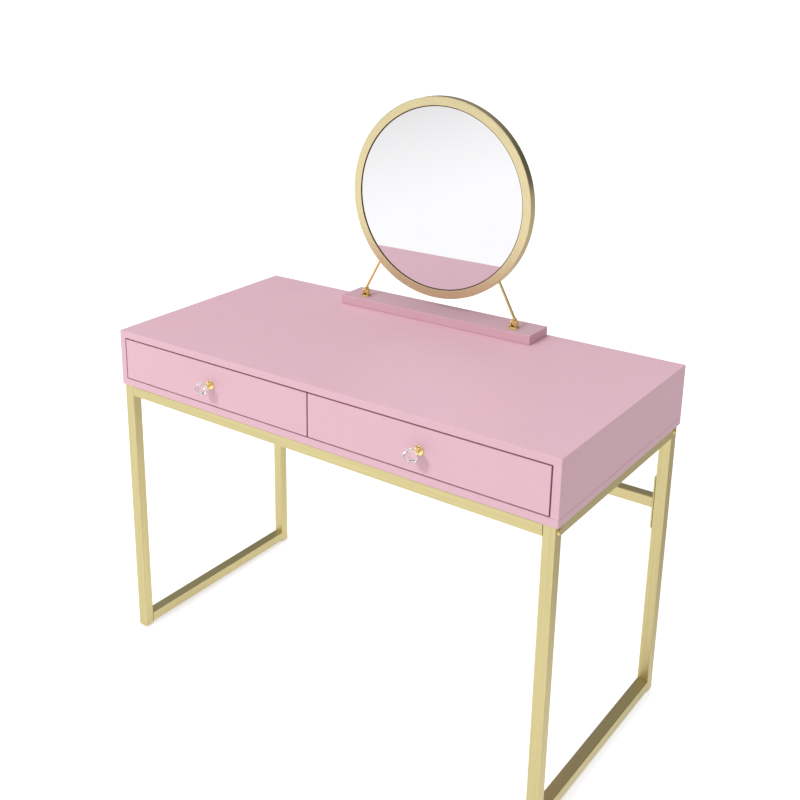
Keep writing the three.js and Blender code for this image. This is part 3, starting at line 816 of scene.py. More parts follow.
def eased_copy(node, ease):
    """A merged copy of a CAD node with its sharp edges eased."""
    bm = bmesh.new()
    bm.from_mesh(frame["nodes"][node].data)
    bmesh.ops.remove_doubles(bm, verts=bm.verts, dist=1e-6)
    bmesh.ops.dissolve_limit(bm, angle_limit=math.radians(1), verts=bm.verts, edges=bm.edges)
    sharp = [e for e in bm.edges if len(e.link_faces) == 2 and e.calc_face_angle() > math.radians(50)]
    bmesh.ops.bevel(bm, geom=sharp, offset=ease, segments=2, profile=0.5, affect="EDGES", clamp_overlap=True)
    mesh = mesh_from(bm, f"{node}_mesh")
    grain_uv(mesh, long_axis(node))
    return mesh


def flatten_shading(obj):
    """Lets the large flat faces decide the normals of the narrow faces round them."""
    step = obj.modifiers.new("normals", "WEIGHTED_NORMAL")
    step.keep_sharp, step.weight = True, 100
    bake(obj)
    return obj


def eased_piece(node, finish_name, ease):
    return stand_in(node, flatten_shading(add_object(f"{node}_finish", eased_copy(node, ease))), finish_name)


# ---- geometry nodes ----


def geometry_tree(name, inputs):
    """A tree that takes and gives geometry, and takes its material."""
    taken = [("Geometry", GEOMETRY, None), *inputs, ("Material", MATERIAL, None)]
    return make_tree("GeometryNodeTree", name, taken, [("Geometry", GEOMETRY)])


def close_tree(n, geometry, given, leave):
    """Ends a tree in Realize Instances and Set Material."""
    real = n.add("GeometryNodeRealizeInstances", Geometry=geometry).outputs["Geometry"]
    coated = n.add("GeometryNodeSetMaterial", Geometry=real, Material=given["Material"])
    n.set(leave, Geometry=coated.outputs["Geometry"])


def screw_tree():
    """Pan heads with a flange and a round driver recess, one on each point, facing its own way."""
    tree, n, given, leave = geometry_tree("Screw heads", [
        ("Head Radius", FLOAT, 3.6 * MM), ("Head Height", FLOAT, 2 * MM), ("Flange Radius", FLOAT, 4.5 * MM),
        ("Flange Height", FLOAT, 0.6 * MM), ("Sides", INTEGER, 24),
    ])

    def disc(radius, depth):
        plate = n.add("GeometryNodeMeshCylinder", Vertices=given["Sides"], Radius=radius, Depth=depth).outputs
        lift = n.join(Z=n.times(depth, 0.5))
        placed = n.add("GeometryNodeTransform", Geometry=plate["Mesh"], Translation=lift)
        return placed.outputs["Geometry"], plate["Top"]

    flange, _ = disc(given["Flange Radius"], given["Flange Height"])
    body, top = disc(given["Head Radius"], given["Head Height"])
    for rise, spread in ((0.22, 0.9), (0.14, 0.8), (0.0, 0.5), (-0.75, 0.92)):
        step = n.times(given["Head Height"], rise)
        grown = n.add("GeometryNodeExtrudeMesh", {"mode": "FACES"}, Mesh=body, Selection=top,
                      Individual=False, Offset_Scale=step).outputs
        top = grown["Top"]
        shrunk = n.add("GeometryNodeScaleElements", Geometry=grown["Mesh"], Selection=top, Scale=spread)
        body = shrunk.outputs["Geometry"]
    head = n.add("GeometryNodeJoinGeometry", Geometry=body)
    n.set(head, Geometry=flange)
    facing = n.add("GeometryNodeInputNamedAttribute", {"data_type": "FLOAT_VECTOR"}, Name="facing")
    turn = n.add("FunctionNodeAlignRotationToVector", {"axis": "Z"}, Vector=facing.outputs["Attribute"])
    placed = n.add("GeometryNodeInstanceOnPoints", Points=given["Geometry"],
                   Instance=head.outputs["Geometry"], Rotation=turn.outputs["Rotation"])
    close_tree(n, placed.outputs["Instances"], given, leave)
    return tree


def bead_tree():
    """Overlapping weld beads along each edge of a mesh, a little uneven."""
    tree, n, given, leave = geometry_tree("Weld beads", [
        ("Radius", FLOAT, 0.9 * MM), ("Spacing", FLOAT, 0.9 * MM), ("Seed", INTEGER, 7),
    ])
    line = n.add("GeometryNodeMeshToCurve", Mesh=given["Geometry"]).outputs["Curve"]
    path = n.add("GeometryNodeResampleCurve", {"mode": "LENGTH"}, Curve=line, Length=given["Spacing"])
    ball = n.add("GeometryNodeMeshIcoSphere", Radius=given["Radius"], Subdivisions=1)
    size = n.add("FunctionNodeRandomValue", {"data_type": "FLOAT"}, Seed=given["Seed"])
    n.feed(size, 2, 0.78)
    n.feed(size, 3, 1.0)
    placed = n.add("GeometryNodeInstanceOnPoints", Points=path.outputs["Curve"],
                   Instance=ball.outputs["Mesh"], Scale=size.outputs[1])
    close_tree(n, placed.outputs["Instances"], given, leave)
    return tree


def stand_upright(n, geometry, given, leave):
    """Ends a tree whose geometry lies flat, turned upright across Y and moved to its centre."""
    stood = n.add("GeometryNodeTransform", Geometry=geometry, Translation=given["Centre"],
                  Rotation=(-math.pi / 2, 0, 0))
    close_tree(n, stood.outputs["Geometry"], given, leave)


def clip_tree():
    """Bent sheet clips round a circle, each swept from the object's own side profile."""
    tree, n, given, leave = geometry_tree("Backing clips", [
        ("Count", INTEGER, 6), ("Circle Radius", FLOAT, 220 * MM), ("Width", FLOAT, 11 * MM),
        ("Sheet", FLOAT, 0.8 * MM), ("Centre", VECTOR, (0, 0, 0)),
    ])
    side = n.add("GeometryNodeMeshToCurve", Mesh=given["Geometry"]).outputs["Curve"]
    section = n.add("GeometryNodeCurvePrimitiveQuadrilateral", {"mode": "RECTANGLE"},
                    Width=given["Sheet"], Height=given["Width"]).outputs["Curve"]
    strip = n.add("GeometryNodeCurveToMesh", Curve=side, Profile_Curve=section, Fill_Caps=True)
    ring = n.add("GeometryNodeMeshCircle", Vertices=given["Count"], Radius=given["Circle Radius"])
    outward = n.add("GeometryNodeInputPosition").outputs["Position"]
    turn = n.add("FunctionNodeAlignRotationToVector", {"axis": "X"}, Vector=outward).outputs["Rotation"]
    placed = n.add("GeometryNodeInstanceOnPoints", Points=ring.outputs["Mesh"],
                   Instance=strip.outputs["Mesh"], Rotation=turn)
    stand_upright(n, placed.outputs["Instances"], given, leave)
    return tree


def ring_tree():
    """A ring swept from the object's own section round a circle, and stood upright across Y."""
    tree, n, given, leave = geometry_tree("Swept ring", [
        ("Radius", FLOAT, 230 * MM), ("Steps", INTEGER, 256), ("Centre", VECTOR, (0, 0, 0)),
    ])
    section = n.add("GeometryNodeMeshToCurve", Mesh=given["Geometry"]).outputs["Curve"]
    circle = n.add("GeometryNodeCurvePrimitiveCircle", Resolution=given["Steps"], Radius=given["Radius"])
    swept = n.add("GeometryNodeCurveToMesh", Curve=circle.outputs["Curve"], Profile_Curve=section)
    stand_upright(n, swept.outputs["Mesh"], given, leave)
    return tree


TREE_MAKERS = {"Screw heads": screw_tree, "Weld beads": bead_tree, "Backing clips": clip_tree,
               "Swept ring": ring_tree}


def grow(name, points, tree_name, values, edges=(), facing=None):
    """Runs a tree on bare points or edges and returns the plain mesh that it makes."""
    mesh = bpy.data.meshes.new(name)
    mesh.from_pydata([tuple(p) for p in points], list(edges), [])
    if facing:
        flat = [c for f in facing for c in f]
        mesh.attributes.new("facing", "FLOAT_VECTOR", "POINT").data.foreach_set("vector", flat)
    obj = add_object(name, mesh)
    tree = bpy.data.node_groups.get(tree_name) or TREE_MAKERS[tree_name]()
    modifier = obj.modifiers.new(tree_name, "NODES")
    modifier.node_group = tree
    for item in tree.interface.items_tree:
        if item.in_out == "INPUT" and item.name in values:
            modifier[item.identifier] = values[item.name]
    bake(obj)
    clean = bmesh.new()
    clean.from_mesh(obj.data)
    bmesh.ops.recalc_face_normals(clean, faces=clean.faces)
    clean.to_mesh(obj.data)
    clean.free()
    shade_mesh(obj.data)
    return obj


def closed_loop(count):
    return [(i, (i + 1) % count) for i in range(count)]


# ---- pieces ----


def make_case():
    """The sides run up into the top panel by two edge radii, so that the lacquer closes their seam."""
    s = sizes()
    for node in ("top_panel", "bottom_panel"):
        box_piece(node, "Pink lacquer", s.panel_edge)
    for side in SIDES:
        box_piece(f"{side}_side_panel", "Pink lacquer", s.panel_edge, raised=2 * s.panel_edge)
    box_piece("back_panel", "Pink lacquer", s.board_edge)
    box_piece("centre_divider", "Faced board", s.board_edge)


def make_drawer_fronts():
    """The narrow edges get a darker lacquer: painted shade that stands for the shadow in the gaps round the
    fronts.
    """
    for side in SIDES:
        front = eased_piece(f"{side}_drawer_front", "Pink lacquer", sizes().panel_edge)
        # Painted shade on the narrow edges, in place of the shadow in the gaps round the fronts.
        front.data.materials.append(material("Gap shade lacquer"))
        for face in front.data.polygons:
            if abs(face.normal.y) < 0.3:
                face.material_index = 1


def make_drawer_boxes():
    for side in SIDES:
        for part in ("left_wall", "right_wall", "back", "floor"):
            eased_piece(f"{side}_drawer_{part}", "Faced board", sizes().board_edge)


def make_slides():
    nodes = [f"{side}_drawer_{hand}_inner_slide" for side in SIDES for hand in SIDES]
    nodes += [f"{side}_bay_{hand}_outer_slide" for side in SIDES for hand in SIDES]
    for node in nodes:
        eased_piece(node, "Zinc plate", 0.25 * MM)


def knob_place(side):
    """The middle of a knob's flange, on the drawer's face."""
    centre = middle(f"{side}_drawer_front")
    centre.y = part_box(f"{side}_drawer_front")[0].y
    return centre


def make_knob_bases():
    steps = sizes().round_steps
    for side in SIDES:
        centre = knob_place(side)
        base_low, base_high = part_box(f"{side}_knob_base")
        flange = (base_high.x - base_low.x) / 2
        stem = centre.y - base_low.y
        stud = base_high.y - centre.y
        neck, cup, shank = 0.42 * flange, 0.8 * flange, 2 * MM
        profile = [(0, stud), (shank, stud), (shank, -SEAT_GAP), (flange - 0.3 * MM, -SEAT_GAP)]
        profile += arc((flange - 0.9 * MM, -SEAT_GAP - 0.9 * MM), 0.9 * MM, 70, -60, 6)
        profile += arc((neck + 2.6 * MM, -5.9 * MM), 2.6 * MM, 90, 180, 6)
        profile += arc((neck + 0.3 * MM, -7.6 * MM), 0.9 * MM, 120, 240, 6)
        profile += arc((cup, -0.62 * stem), cup - neck, 180, 262, 7)
        profile += arc((cup - 0.6 * MM, -stem + 0.7 * MM), 0.6 * MM, 40, -90, 4)
        profile += [(0.86 * cup, -stem), (0, -stem)]
        mesh = turned_mesh(f"{side}_knob_base_mesh", profile, centre, Y, steps, 40)
        stand_in(f"{side}_knob_base", mesh, "Polished gold")


CRYSTAL_ROWS = (
    (0.36, 0.0), (0.7, 0.16), (0.96, 0.33), (1.0, 0.48), (0.93, 0.63), (0.74, 0.8), (0.45, 0.94), (0.14, 1.0),
)


def make_crystals():
    """Each row of corners is turned half a step from the last, so the facets are triangles."""
    s = sizes()
    count = 2 * (s.facets // 2)
    for side in SIDES:
        node = f"{side}_knob_crystal"
        low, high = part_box(node)
        radius = (high.z - low.z) / 2
        centre = middle(node)
        centre.y = high.y
        span = high.y - low.y
        bm = bmesh.new()
        rows = []
        for row, (r, along) in enumerate(CRYSTAL_ROWS):
            ring = []
            for i in range(count):
                a = 2 * math.pi * (i + 0.5 * (row % 2)) / count
                reach = radius * r * (1.0 if (i + row) % 2 else s.facet_dent)
                corner = Vector((reach * math.sin(a), -span * along, reach * math.cos(a)))
                ring.append(bm.verts.new(centre + corner))
            rows.append(ring)
        for row, (a, b) in enumerate(zip(rows, rows[1:])):
            for i in range(count):
                j = (i + 1) % count
                near, far = (b[j], a[i]) if row % 2 else (b[i], a[j])
                bm.faces.new((a[i], a[j], near))
                bm.faces.new((far, b[j], b[i]))
        bm.faces.new(rows[0])
        bm.faces.new(rows[-1][::-1])
        stand_in(node, mesh_from(bm, f"{node}_mesh", 1), "Cut crystal")


def make_tubes():
    runs = []
    for side in SIDES:
        runs += [(f"{end}_{side}_leg", Z) for end in ENDS]
        runs += [(f"{side}_{level}_side_rail", Y) for level in ("top", "bottom")]
    runs += [(node, X) for node in ("front_top_rail", "rear_top_rail", "rear_stretcher")]
    for node, axis in runs:
        stand_in(node, tube_mesh(f"{node}_mesh", *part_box(node), axis), "Satin gold paint")


def make_plates():
    for side in SIDES:
        box_piece(f"{side}_stretcher_plate", "Satin gold paint", 0.5 * MM)


def make_bolts():
    """Domed heads with a hexagon socket, and the shank behind them."""
    shank, socket_radius, socket_depth = 3 * MM, 2.3 * MM, 4 * MM
    for side, out in OUTWARD.items():
        for end in ENDS:
            node = f"{end}_{side}_frame_bolt"
            leg_low, leg_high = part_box(f"{end}_{side}_leg")
            low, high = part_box(node)
            centre = middle(node)
            face, tip, back = (leg_high.x, high.x, low.x) if out > 0 else (leg_low.x, low.x, high.x)
            centre.x = face
            radius = (high.z - low.z) / 2
            height = abs(tip - face)
            tail = -abs(back - face)
            profile = [(0, tail), (shank, tail), (shank, SEAT_GAP), (radius, SEAT_GAP)]
            profile += [*dome(radius, SEAT_GAP, height, range(10, 90, 10)), (0, height)]
            head = turned_mesh(f"{node}_mesh", [(r, out * along) for r, along in profile], centre, X,
                               sizes().round_steps)
            sunk = out * height - (1.9 * MM if out > 0 else 2.1 * MM)
            socket = bmesh.new()
            turned(socket, drum(socket_radius, 0, socket_depth), centre + AXES[X] * sunk, X, 6)
            piece = unite(f"{node}_finish", [head], [mesh_from(socket, "socket", 1)])
            stand_in(node, piece, "Polished gold")


def make_glides():
    radius = 9 * MM
    for side in SIDES:
        for end in ENDS:
            node = f"{end}_{side}_glide"
            low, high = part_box(node)
            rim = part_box(f"{end}_{side}_leg")[0].z
            centre = ((low.x + high.x) / 2, (low.y + high.y) / 2, 0)
            plug = (high.x - low.x) / 2 - 0.4 * MM
            profile = [(0, 0), (radius - 2 * MM, 0), *arc((radius - 1.4 * MM, 1.4 * MM), 1.4 * MM, -90, 0, 5)]
            profile += [(radius, rim - 0.6 * MM), (radius - 0.3 * MM, rim - SEAT_GAP), (0, rim - SEAT_GAP)]
            foot = turned_mesh(f"{node}_mesh", profile, centre, Z, sizes().round_steps)
            peg = rounded_box("peg", (centre[0] - plug, centre[1] - plug, rim - 1 * MM),
                              (centre[0] + plug, centre[1] + plug, high.z), 1.2 * MM)
            stand_in(node, unite(f"{node}_finish", [foot, peg]), "Milky plastic")


def make_mirror_base():
    # The base gets the darker lacquer: painted shade standing for the shade that the mirror casts on it.
    box_piece("mirror_base", "Shaded base lacquer", 1.4 * sizes().panel_edge, segments=4)


def pivot_outline(centre, radius, bottom, top, steps=16):
    """A plate's [y, z] outline, round at the pivot and square at the end that is further off."""
    y, z = centre.y, centre.z
    if top - z > z - bottom:
        return [(y + radius, top), (y - radius, top), *arc((y, z), radius, 180, 360, steps)]
    return [(y - radius, bottom), (y + radius, bottom), *arc((y, z), radius, 0, 180, steps)]


def make_feet():
    """A turned flange with two cheeks, and the pin through them."""
    top, inside, outside = 3.7 * MM, 4.3 * MM, 7.3 * MM
    shank, seat = 2 * MM, 7.5 * MM
    for side in SIDES:
        foot, pin = f"{side}_mirror_foot", f"{side}_pivot_pin"
        low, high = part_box(foot)
        pin_low, pin_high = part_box(pin)
        centre = middle(pin)
        radius = (high.x - low.x) / 2
        profile = [(0, 0), (radius, 0), (radius, 1.4 * MM)]
        profile += arc((radius - 0.9 * MM, 1.4 * MM), 0.9 * MM, 20, 80, 4)
        profile += arc((radius - 2.2 * MM, 3.6 * MM), 1.0 * MM, 250, 200, 4)
        profile += [(radius - 3.2 * MM, top), (0, top)]
        flange = turned_mesh(f"{foot}_mesh", profile, (centre.x, centre.y, low.z), Z, sizes().round_steps)
        outline = pivot_outline(centre, high.z - centre.z, low.z + 2 * MM, high.z)
        plates = []
        for hand in (-1, 1):
            near, far = sorted((centre.x + hand * inside, centre.x + hand * outside))
            plates.append(rounded_slab("cheek", outline, near, far, 0.5 * MM))
        stand_in(foot, unite(f"{foot}_finish", [flange, *plates]), "Polished gold")
        half, head = (pin_high.x - pin_low.x) / 2, (pin_high.z - pin_low.z) / 2
        right_end = [(shank, seat), *dome(head, seat, half, range(0, 90, 12)), (0, half)]
        profile = [(r, -along) for r, along in right_end[::-1]] + right_end
        stand_in(pin, turned_mesh(f"{pin}_mesh", profile, centre, X, 24), "Polished gold")


def make_rods():
    """A knuckle on the pin, a ball at the bend and a round bar up into the ring."""
    radius, rise, ball_radius = 3 * MM, 10 * MM, 3.3 * MM
    half_width, bore_radius, bore_half = 4 * MM, 2.2 * MM, 9 * MM
    for side, out in OUTWARD.items():
        node = f"{side}_mirror_rod"
        low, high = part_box(node)
        pivot = middle(f"{side}_pivot_pin")
        start = pivot + AXES[Z] * rise
        tip_x = low.x if out > 0 else high.x
        run = Vector((tip_x - start.x, 0, high.z - start.z))
        lean = math.atan2(abs(run.x) - radius * 0.88, run.z - radius * 0.47)
        direction = Vector((-out * math.sin(lean), 0, math.cos(lean)))
        reach = (run.z - radius * math.sin(lean)) / math.cos(lean)
        bar = bmesh.new()
        turned(bar, drum(radius, 0, reach), (0, 0, 0), Z, 32)
        bar.transform(Matrix.Translation(start) @ direction.to_track_quat("Z", "Y").to_matrix().to_4x4())
        ball = bmesh.new()
        bmesh.ops.create_uvsphere(ball, u_segments=24, v_segments=16, radius=ball_radius,
                                  matrix=Matrix.Translation(start))
        outline = pivot_outline(pivot, pivot.z - low.z, low.z, start.z)
        plate = rounded_slab("knuckle", outline, pivot.x - half_width, pivot.x + half_width, 0.8 * MM)
        bore = bmesh.new()
        turned(bore, drum(bore_radius, -bore_half, bore_half), pivot, X, 24)
        piece = unite(f"{node}_finish", [plate, mesh_from(ball, "ball"), mesh_from(bar, "bar")],
                      [mesh_from(bore, "bore")])
        stand_in(node, piece, "Polished gold")


def make_ring():
    """The L-shaped section, eased at its corners, swept round the mirror."""
    s = sizes()
    low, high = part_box("mirror_ring")
    glass_low, glass_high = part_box("mirror_glass")
    radius, depth = (high.x - low.x) / 2, (high.y - low.y) / 2
    rebate = (glass_high.x - glass_low.x) / 2 + GLASS_PLAY - radius
    inner = rebate - s.glass_cover
    lip = depth - s.ring_lip
    e, guard = s.ring_edge, 0.5 * MM
    bevel = 0.16 * s.ring_lip
    slope = 1.2 * bevel
    section = [(inner, depth - bevel), (inner + slope, depth), (inner + slope + guard, depth)]
    section += [(-e - guard, depth), *arc((-e, depth - e), e, 90, 0, 6)]
    section += [(0, depth - e - guard), (0, -depth + e + guard)]
    section += arc((-e, -depth + e), e, 0, -90, 6)
    section += [(-e - guard, -depth), (rebate + 0.9 * MM, -depth), (rebate, -depth + 0.6 * MM)]
    section += [(rebate, lip), (inner, lip)]
    ring = grow("mirror_ring_finish", [(x, y, 0) for x, y in section], "Swept ring", {
        "Radius": radius, "Steps": 256, "Centre": middle("mirror_ring"),
        "Material": material("Brushed champagne"),
    }, closed_loop(len(section)))
    stand_in("mirror_ring", ring, "Brushed champagne")


def make_glass():
    """A disc of mirror glass with a ground edge, and the hardboard behind it."""
    for node, finish_name, e in (("mirror_glass", "Silvered glass", 0.8 * MM),
                                 ("mirror_backing", "Hardboard", 0.4 * MM)):
        low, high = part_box(node)
        radius, half = (high.x - low.x) / 2, (high.y - low.y) / 2
        profile = [(0, -half), (radius - e, -half), (radius, -half + e)]
        profile += [(r, -along) for r, along in profile[::-1]]
        mesh = turned_mesh(f"{node}_mesh", profile, middle(node), Y, 192, 20)
        stand_in(node, mesh, finish_name)


def screw_group(name, body, finish_name, places, radius, height, flange):
    """Screw heads on (point, facing) pairs, as one piece."""
    obj = grow(name, [p for p, _ in places], "Screw heads", {
        "Head Radius": radius, "Head Height": height, "Flange Radius": flange, "Flange Height": 0.25 * height,
        "Sides": 24, "Material": material(finish_name),
    }, facing=[f for _, f in places])
    settle(obj, finish_name, body)


def make_screws():
    head = sizes().screw_head
    plates, feet, under = [], [], []
    for side, out in OUTWARD.items():
        low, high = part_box(f"{side}_stretcher_plate")
        face = middle(f"{side}_stretcher_plate")
        face.x = high.x if out < 0 else low.x
        plates += [(face + AXES[Z] * lift, (-out, 0, 0)) for lift in (-45 * MM, 45 * MM)]
        flange = middle(f"{side}_mirror_foot")
        flange.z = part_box(f"{side}_mirror_foot")[0].z + 3.6 * MM
        feet += [(flange + AXES[Y] * reach, (0, 0, 1)) for reach in (-7.6 * MM, 7.6 * MM)]
    for node in ("front_top_rail", "rear_top_rail"):
        low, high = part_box(node)
        centre = middle(node)
        centre.z = low.z
        under += [(centre + AXES[X] * (high.x - low.x) * part, (0, 0, -1)) for part in (-1 / 3, 0, 1 / 3)]
    screw_group("stretcher_screws", "root", "Polished gold", plates, 1.2 * head, 2.2 * MM, 1.5 * head)
    screw_group("mirror_foot_screws", "root", "Polished gold", feet, 1.6 * MM, 0.6 * MM, 1.8 * MM)
    screw_group("case_screws", "root", "Polished gold", under, head, 2.0 * MM, 1.3 * head)


def make_drawer_screws():
    """Knob screws behind the fronts, and the screws of the slides."""
    head, sheet = sizes().screw_head, 1.2 * MM
    slide_screw = (3 * MM, 1 * MM, 3.4 * MM)
    case_slides = []
    for side in SIDES:
        back = knob_place(side)
        back.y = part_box(f"{side}_drawer_front")[1].y
        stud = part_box(f"{side}_knob_base")[1].y - back.y
        screw_group(f"{side}_knob_screw", f"{side}_drawer", "Zinc plate", [(back, (0, 1, 0))],
                    head, stud + 0.4 * MM, 1.7 * head)
        runner = []
        for hand, out in OUTWARD.items():
            low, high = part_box(f"{side}_drawer_{hand}_inner_slide")
            bay_low, bay_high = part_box(f"{side}_bay_{hand}_outer_slide")
            at_box = low.x + sheet if out > 0 else high.x - sheet
            at_case = bay_high.x - sheet if out > 0 else bay_low.x + sheet
            for part in (0.12, 0.5, 0.88):
                y, z = low.y + (high.y - low.y) * part, (low.z + high.z) / 2
                runner.append(((at_box, y, z), (out, 0, 0)))
                case_slides.append(((at_case, y, z), (-out, 0, 0)))
        screw_group(f"{side}_drawer_slide_screws", f"{side}_drawer", "Zinc plate", runner, *slide_screw)
    screw_group("case_slide_screws", "root", "Zinc plate", case_slides, *slide_screw)


def make_clips():
    """Bent clips from the back of the ring down onto the backing, each with its screw."""
    s = sizes()
    low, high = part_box("mirror_ring")
    back = middle("mirror_ring")
    back.y = high.y
    hold = (high.x - low.x) / 2 - 9 * MM
    lift = s.clip_sheet / 2
    seat = lift - (high.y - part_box("mirror_backing")[1].y)
    bends = ((6, lift), (-5, lift), (-6, lift - 0.4 * MM), (-8, seat + 0.5 * MM), (-9, seat + 0.1 * MM),
             (-16, seat + 0.1 * MM), (-18, seat + 1.2 * MM))
    side = [(along * MM, 0, height) for along, height in bends]
    clips = grow("backing_clips", side, "Backing clips", {
        "Count": s.clips, "Circle Radius": hold, "Width": s.clip_width, "Sheet": s.clip_sheet, "Centre": back,
        "Material": material("Zinc plate"),
    }, closed_loop(len(side))[:-1])
    settle(clips, "Zinc plate", "mirror")
    places = []
    for i in range(s.clips):
        a = 2 * math.pi * i / s.clips
        point = back + Vector((hold * math.cos(a), s.clip_sheet, -hold * math.sin(a)))
        places.append((point, (0, 1, 0)))
    screw_group("clip_screws", "mirror", "Zinc plate", places, 2.6 * MM, 1.2 * MM, 3 * MM)


def make_welds():
    """Beads where the rails meet the legs and where the stretcher meets its plates."""
    inset, bead = sizes().tube_corner, sizes().bead
    points = []
    for side in SIDES:
        for level in ("top", "bottom"):
            low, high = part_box(f"{side}_{level}_side_rail")
            for y in (low.y, high.y):
                for z in (low.z,) if level == "top" else (low.z, high.z):
                    points += [(low.x + inset, y, z), (high.x - inset, y, z)]
    low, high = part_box("rear_stretcher")
    for x in (low.x, high.x):
        for z in (low.z, high.z):
            points += [(x, low.y + inset, z), (x, high.y - inset, z)]
    beads = grow("weld_beads", points, "Weld beads", {
        "Radius": bead, "Spacing": bead, "Seed": 7, "Material": material("Satin gold paint"),
    }, closed_loop(len(points))[::2])
    settle(beads, "Satin gold paint", "root")


# ---- stage ----


def direct_view(n, path):
    """1 until a ray has bounced off a matt surface, then 0."""
    return n.minus(1.0, n.math("MINIMUM", path["Diffuse Depth"], 1.0))


def pale_floor(stage):
    """Matt and pale; clear mirrors see it as plain white and blurred reflections as darker to the right."""
    half = stage.floor_side / 2
    mesh = bpy.data.meshes.new("floor_mesh")
    corners = [(-half, -half, 0), (half, -half, 0), (half, half, 0), (-half, half, 0)]
    mesh.from_pydata(corners, [], [(0, 1, 2, 3)])
    floor = add_object("floor", mesh)
    paint, n, shader, place = start_material("Pale floor")
    path = n.add("ShaderNodeLightPath").outputs
    axes = n.split(place)
    away = n.plus(n.times(axes["X"], 0.8), n.times(axes["Y"], 0.6))
    blurred = n.times(path["Is Glossy Ray"], n.minus(1.0, path["Is Singular Ray"]))
    dark = n.times(blurred, n.remap(away, 0.35, 1.3, 0.0, stage.dark_side))
    pale = n.mix(n.noise(place, 0.8, 3.0, 0.5), (0.74, 0.74, 0.74, 1), (0.78, 0.78, 0.78, 1))
    direct = direct_view(n, path)
    mirrored = n.times(direct, n.times(path["Is Singular Ray"], path["Is Glossy Ray"]))
    shaded = n.mix(dark, pale, (0.2, 0.13, 0.05, 1))
    own = n.times(n.times(direct, n.minus(1.0, dark)), stage.floor_glow)
    level = n.remap(axes["X"], -5.5, -2.6, 0.87, 1.12)
    glow = n.plus(n.times(own, n.minus(1.0, mirrored)), n.times(mirrored, level))
    n.set(shader, Base_Color=n.mix(mirrored, shaded, (0, 0, 0, 1)), Roughness=0.8, Specular_IOR_Level=0.0,
          Emission_Color=(1, 1, 1, 1), Emission_Strength=glow)
    mesh.materials.append(paint)


def studio_sky(stage):
    """White to the camera; to the object a soft room, bright in front and dim behind."""
    world = bpy.data.worlds.new("Studio")
    world.use_nodes = True
    bpy.context.scene.world = world
    n = Nodes(world.node_tree)
    world.node_tree.nodes.clear()
    toward = n.add("ShaderNodeTexCoord").outputs["Generated"]
    way = n.split(toward)
    path = n.add("ShaderNodeLightPath").outputs
    side = n.remap(way["X"], 0.9, -0.5, 0.5, 1.1)
    front = n.remap(way["Y"], 0.55, -0.35, 0.4, 1.3)
    flags = n.remap(n.noise(toward, 2.6, 1.0), 0.44, 0.56, stage.cards, 1.25)
    cards = n.math("MAXIMUM", flags, n.remap(way["Z"], 0.35, 0.6, 0.0, 1.25))
    above = n.remap(way["Z"], 0.1, 0.9, 0.76, 1.55)
    even = n.times(n.times(side, above), stage.sky)
    room = n.times(n.times(even, front), cards)
    clear = n.times(path["Is Singular Ray"], n.minus(1.0, path["Is Transmission Ray"]))
    plain = n.times(clear, direct_view(n, path))
    glossy = n.math("MAXIMUM", path["Is Glossy Ray"], path["Is Transmission Ray"])
    strength = even
    for chosen, level in ((glossy, room), (plain, 1.02), (path["Is Camera Ray"], 1.0)):
        strength = n.plus(n.times(strength, n.minus(1.0, chosen)), n.times(chosen, level))
    background = n.add("ShaderNodeBackground", Color=(1, 1, 1, 1), Strength=strength)
    n.add("ShaderNodeOutputWorld", Surface=background.outputs[0])


def soft_light(name, place, aim, width, power):
    """A square area light that shows in no reflection."""
    lamp = bpy.data.lights.new(name, "AREA")
    lamp.shape, lamp.size, lamp.energy = "SQUARE", width, power
    obj = add_object(name, lamp)
    obj.location = place
    obj.rotation_euler = (Vector(aim) - Vector(place)).to_track_quat("-Z", "Y").to_euler()
    obj.visible_glossy = False


def place_camera(stage):
    a, e, r = stage.azimuth, stage.elevation, stage.roll
    ahead = Vector((-math.sin(a) * math.cos(e), math.cos(a) * math.cos(e), -math.sin(e)))
    level = ahead.cross(AXES[Z]).normalized()
    up = level.cross(ahead)
    right = level * math.cos(r) + up * math.sin(r)
    top = up * math.cos(r) - level * math.sin(r)
    lens = bpy.data.cameras.new("camera")
    lens.lens, lens.sensor_width = stage.lens, 36
    lens.shift_x, lens.shift_y = stage.shift_x, stage.shift_y
    lens.clip_end = 200
    camera = add_object("camera", lens)
    turn = Matrix((right, top, -ahead)).transposed().to_4x4()
    camera.matrix_world = Matrix.Translation(Vector(stage.camera_place)) @ turn
    bpy.context.scene.camera = camera


def make_stage():
    stage = bpy.context.scene.vanity_stage
    pale_floor(stage)
    studio_sky(stage)
    soft_light("key", (-1.7, -6.7, 5.9), (0, 0, 0.6), 1.7, stage.key)
    place_camera(stage)
    bpy.context.scene.view_settings.view_transform = "Standard"


# ---- operators ----


class VANITY_OT_case(bpy.types.Operator):
    """Build the lacquered panels and the divider"""

    bl_idname = "vanity.case"
    bl_label = "Case"

    def execute(self, context):
        make_case()
        return {"FINISHED"}


class VANITY_OT_drawer_fronts(bpy.types.Operator):
    """Build the two lacquered drawer fronts"""

    bl_idname = "vanity.drawer_fronts"
    bl_label = "Drawer fronts"

    def execute(self, context):
        make_drawer_fronts()
        return {"FINISHED"}


class VANITY_OT_drawer_boxes(bpy.types.Operator):
    """Build the boards inside the two drawers"""

    bl_idname = "vanity.drawer_boxes"
    bl_label = "Drawer boxes"

    def execute(self, context):
        make_drawer_boxes()
        return {"FINISHED"}


class VANITY_OT_slides(bpy.types.Operator):
    """Build both halves of every drawer slide"""

    bl_idname = "vanity.slides"
    bl_label = "Drawer slides"

    def execute(self, context):
        make_slides()
        return {"FINISHED"}


class VANITY_OT_knob_bases(bpy.types.Operator):
    """Build the two turned metal knob bases"""

    bl_idname = "vanity.knob_bases"
    bl_label = "Knob bases"

    def execute(self, context):
        make_knob_bases()
        return {"FINISHED"}


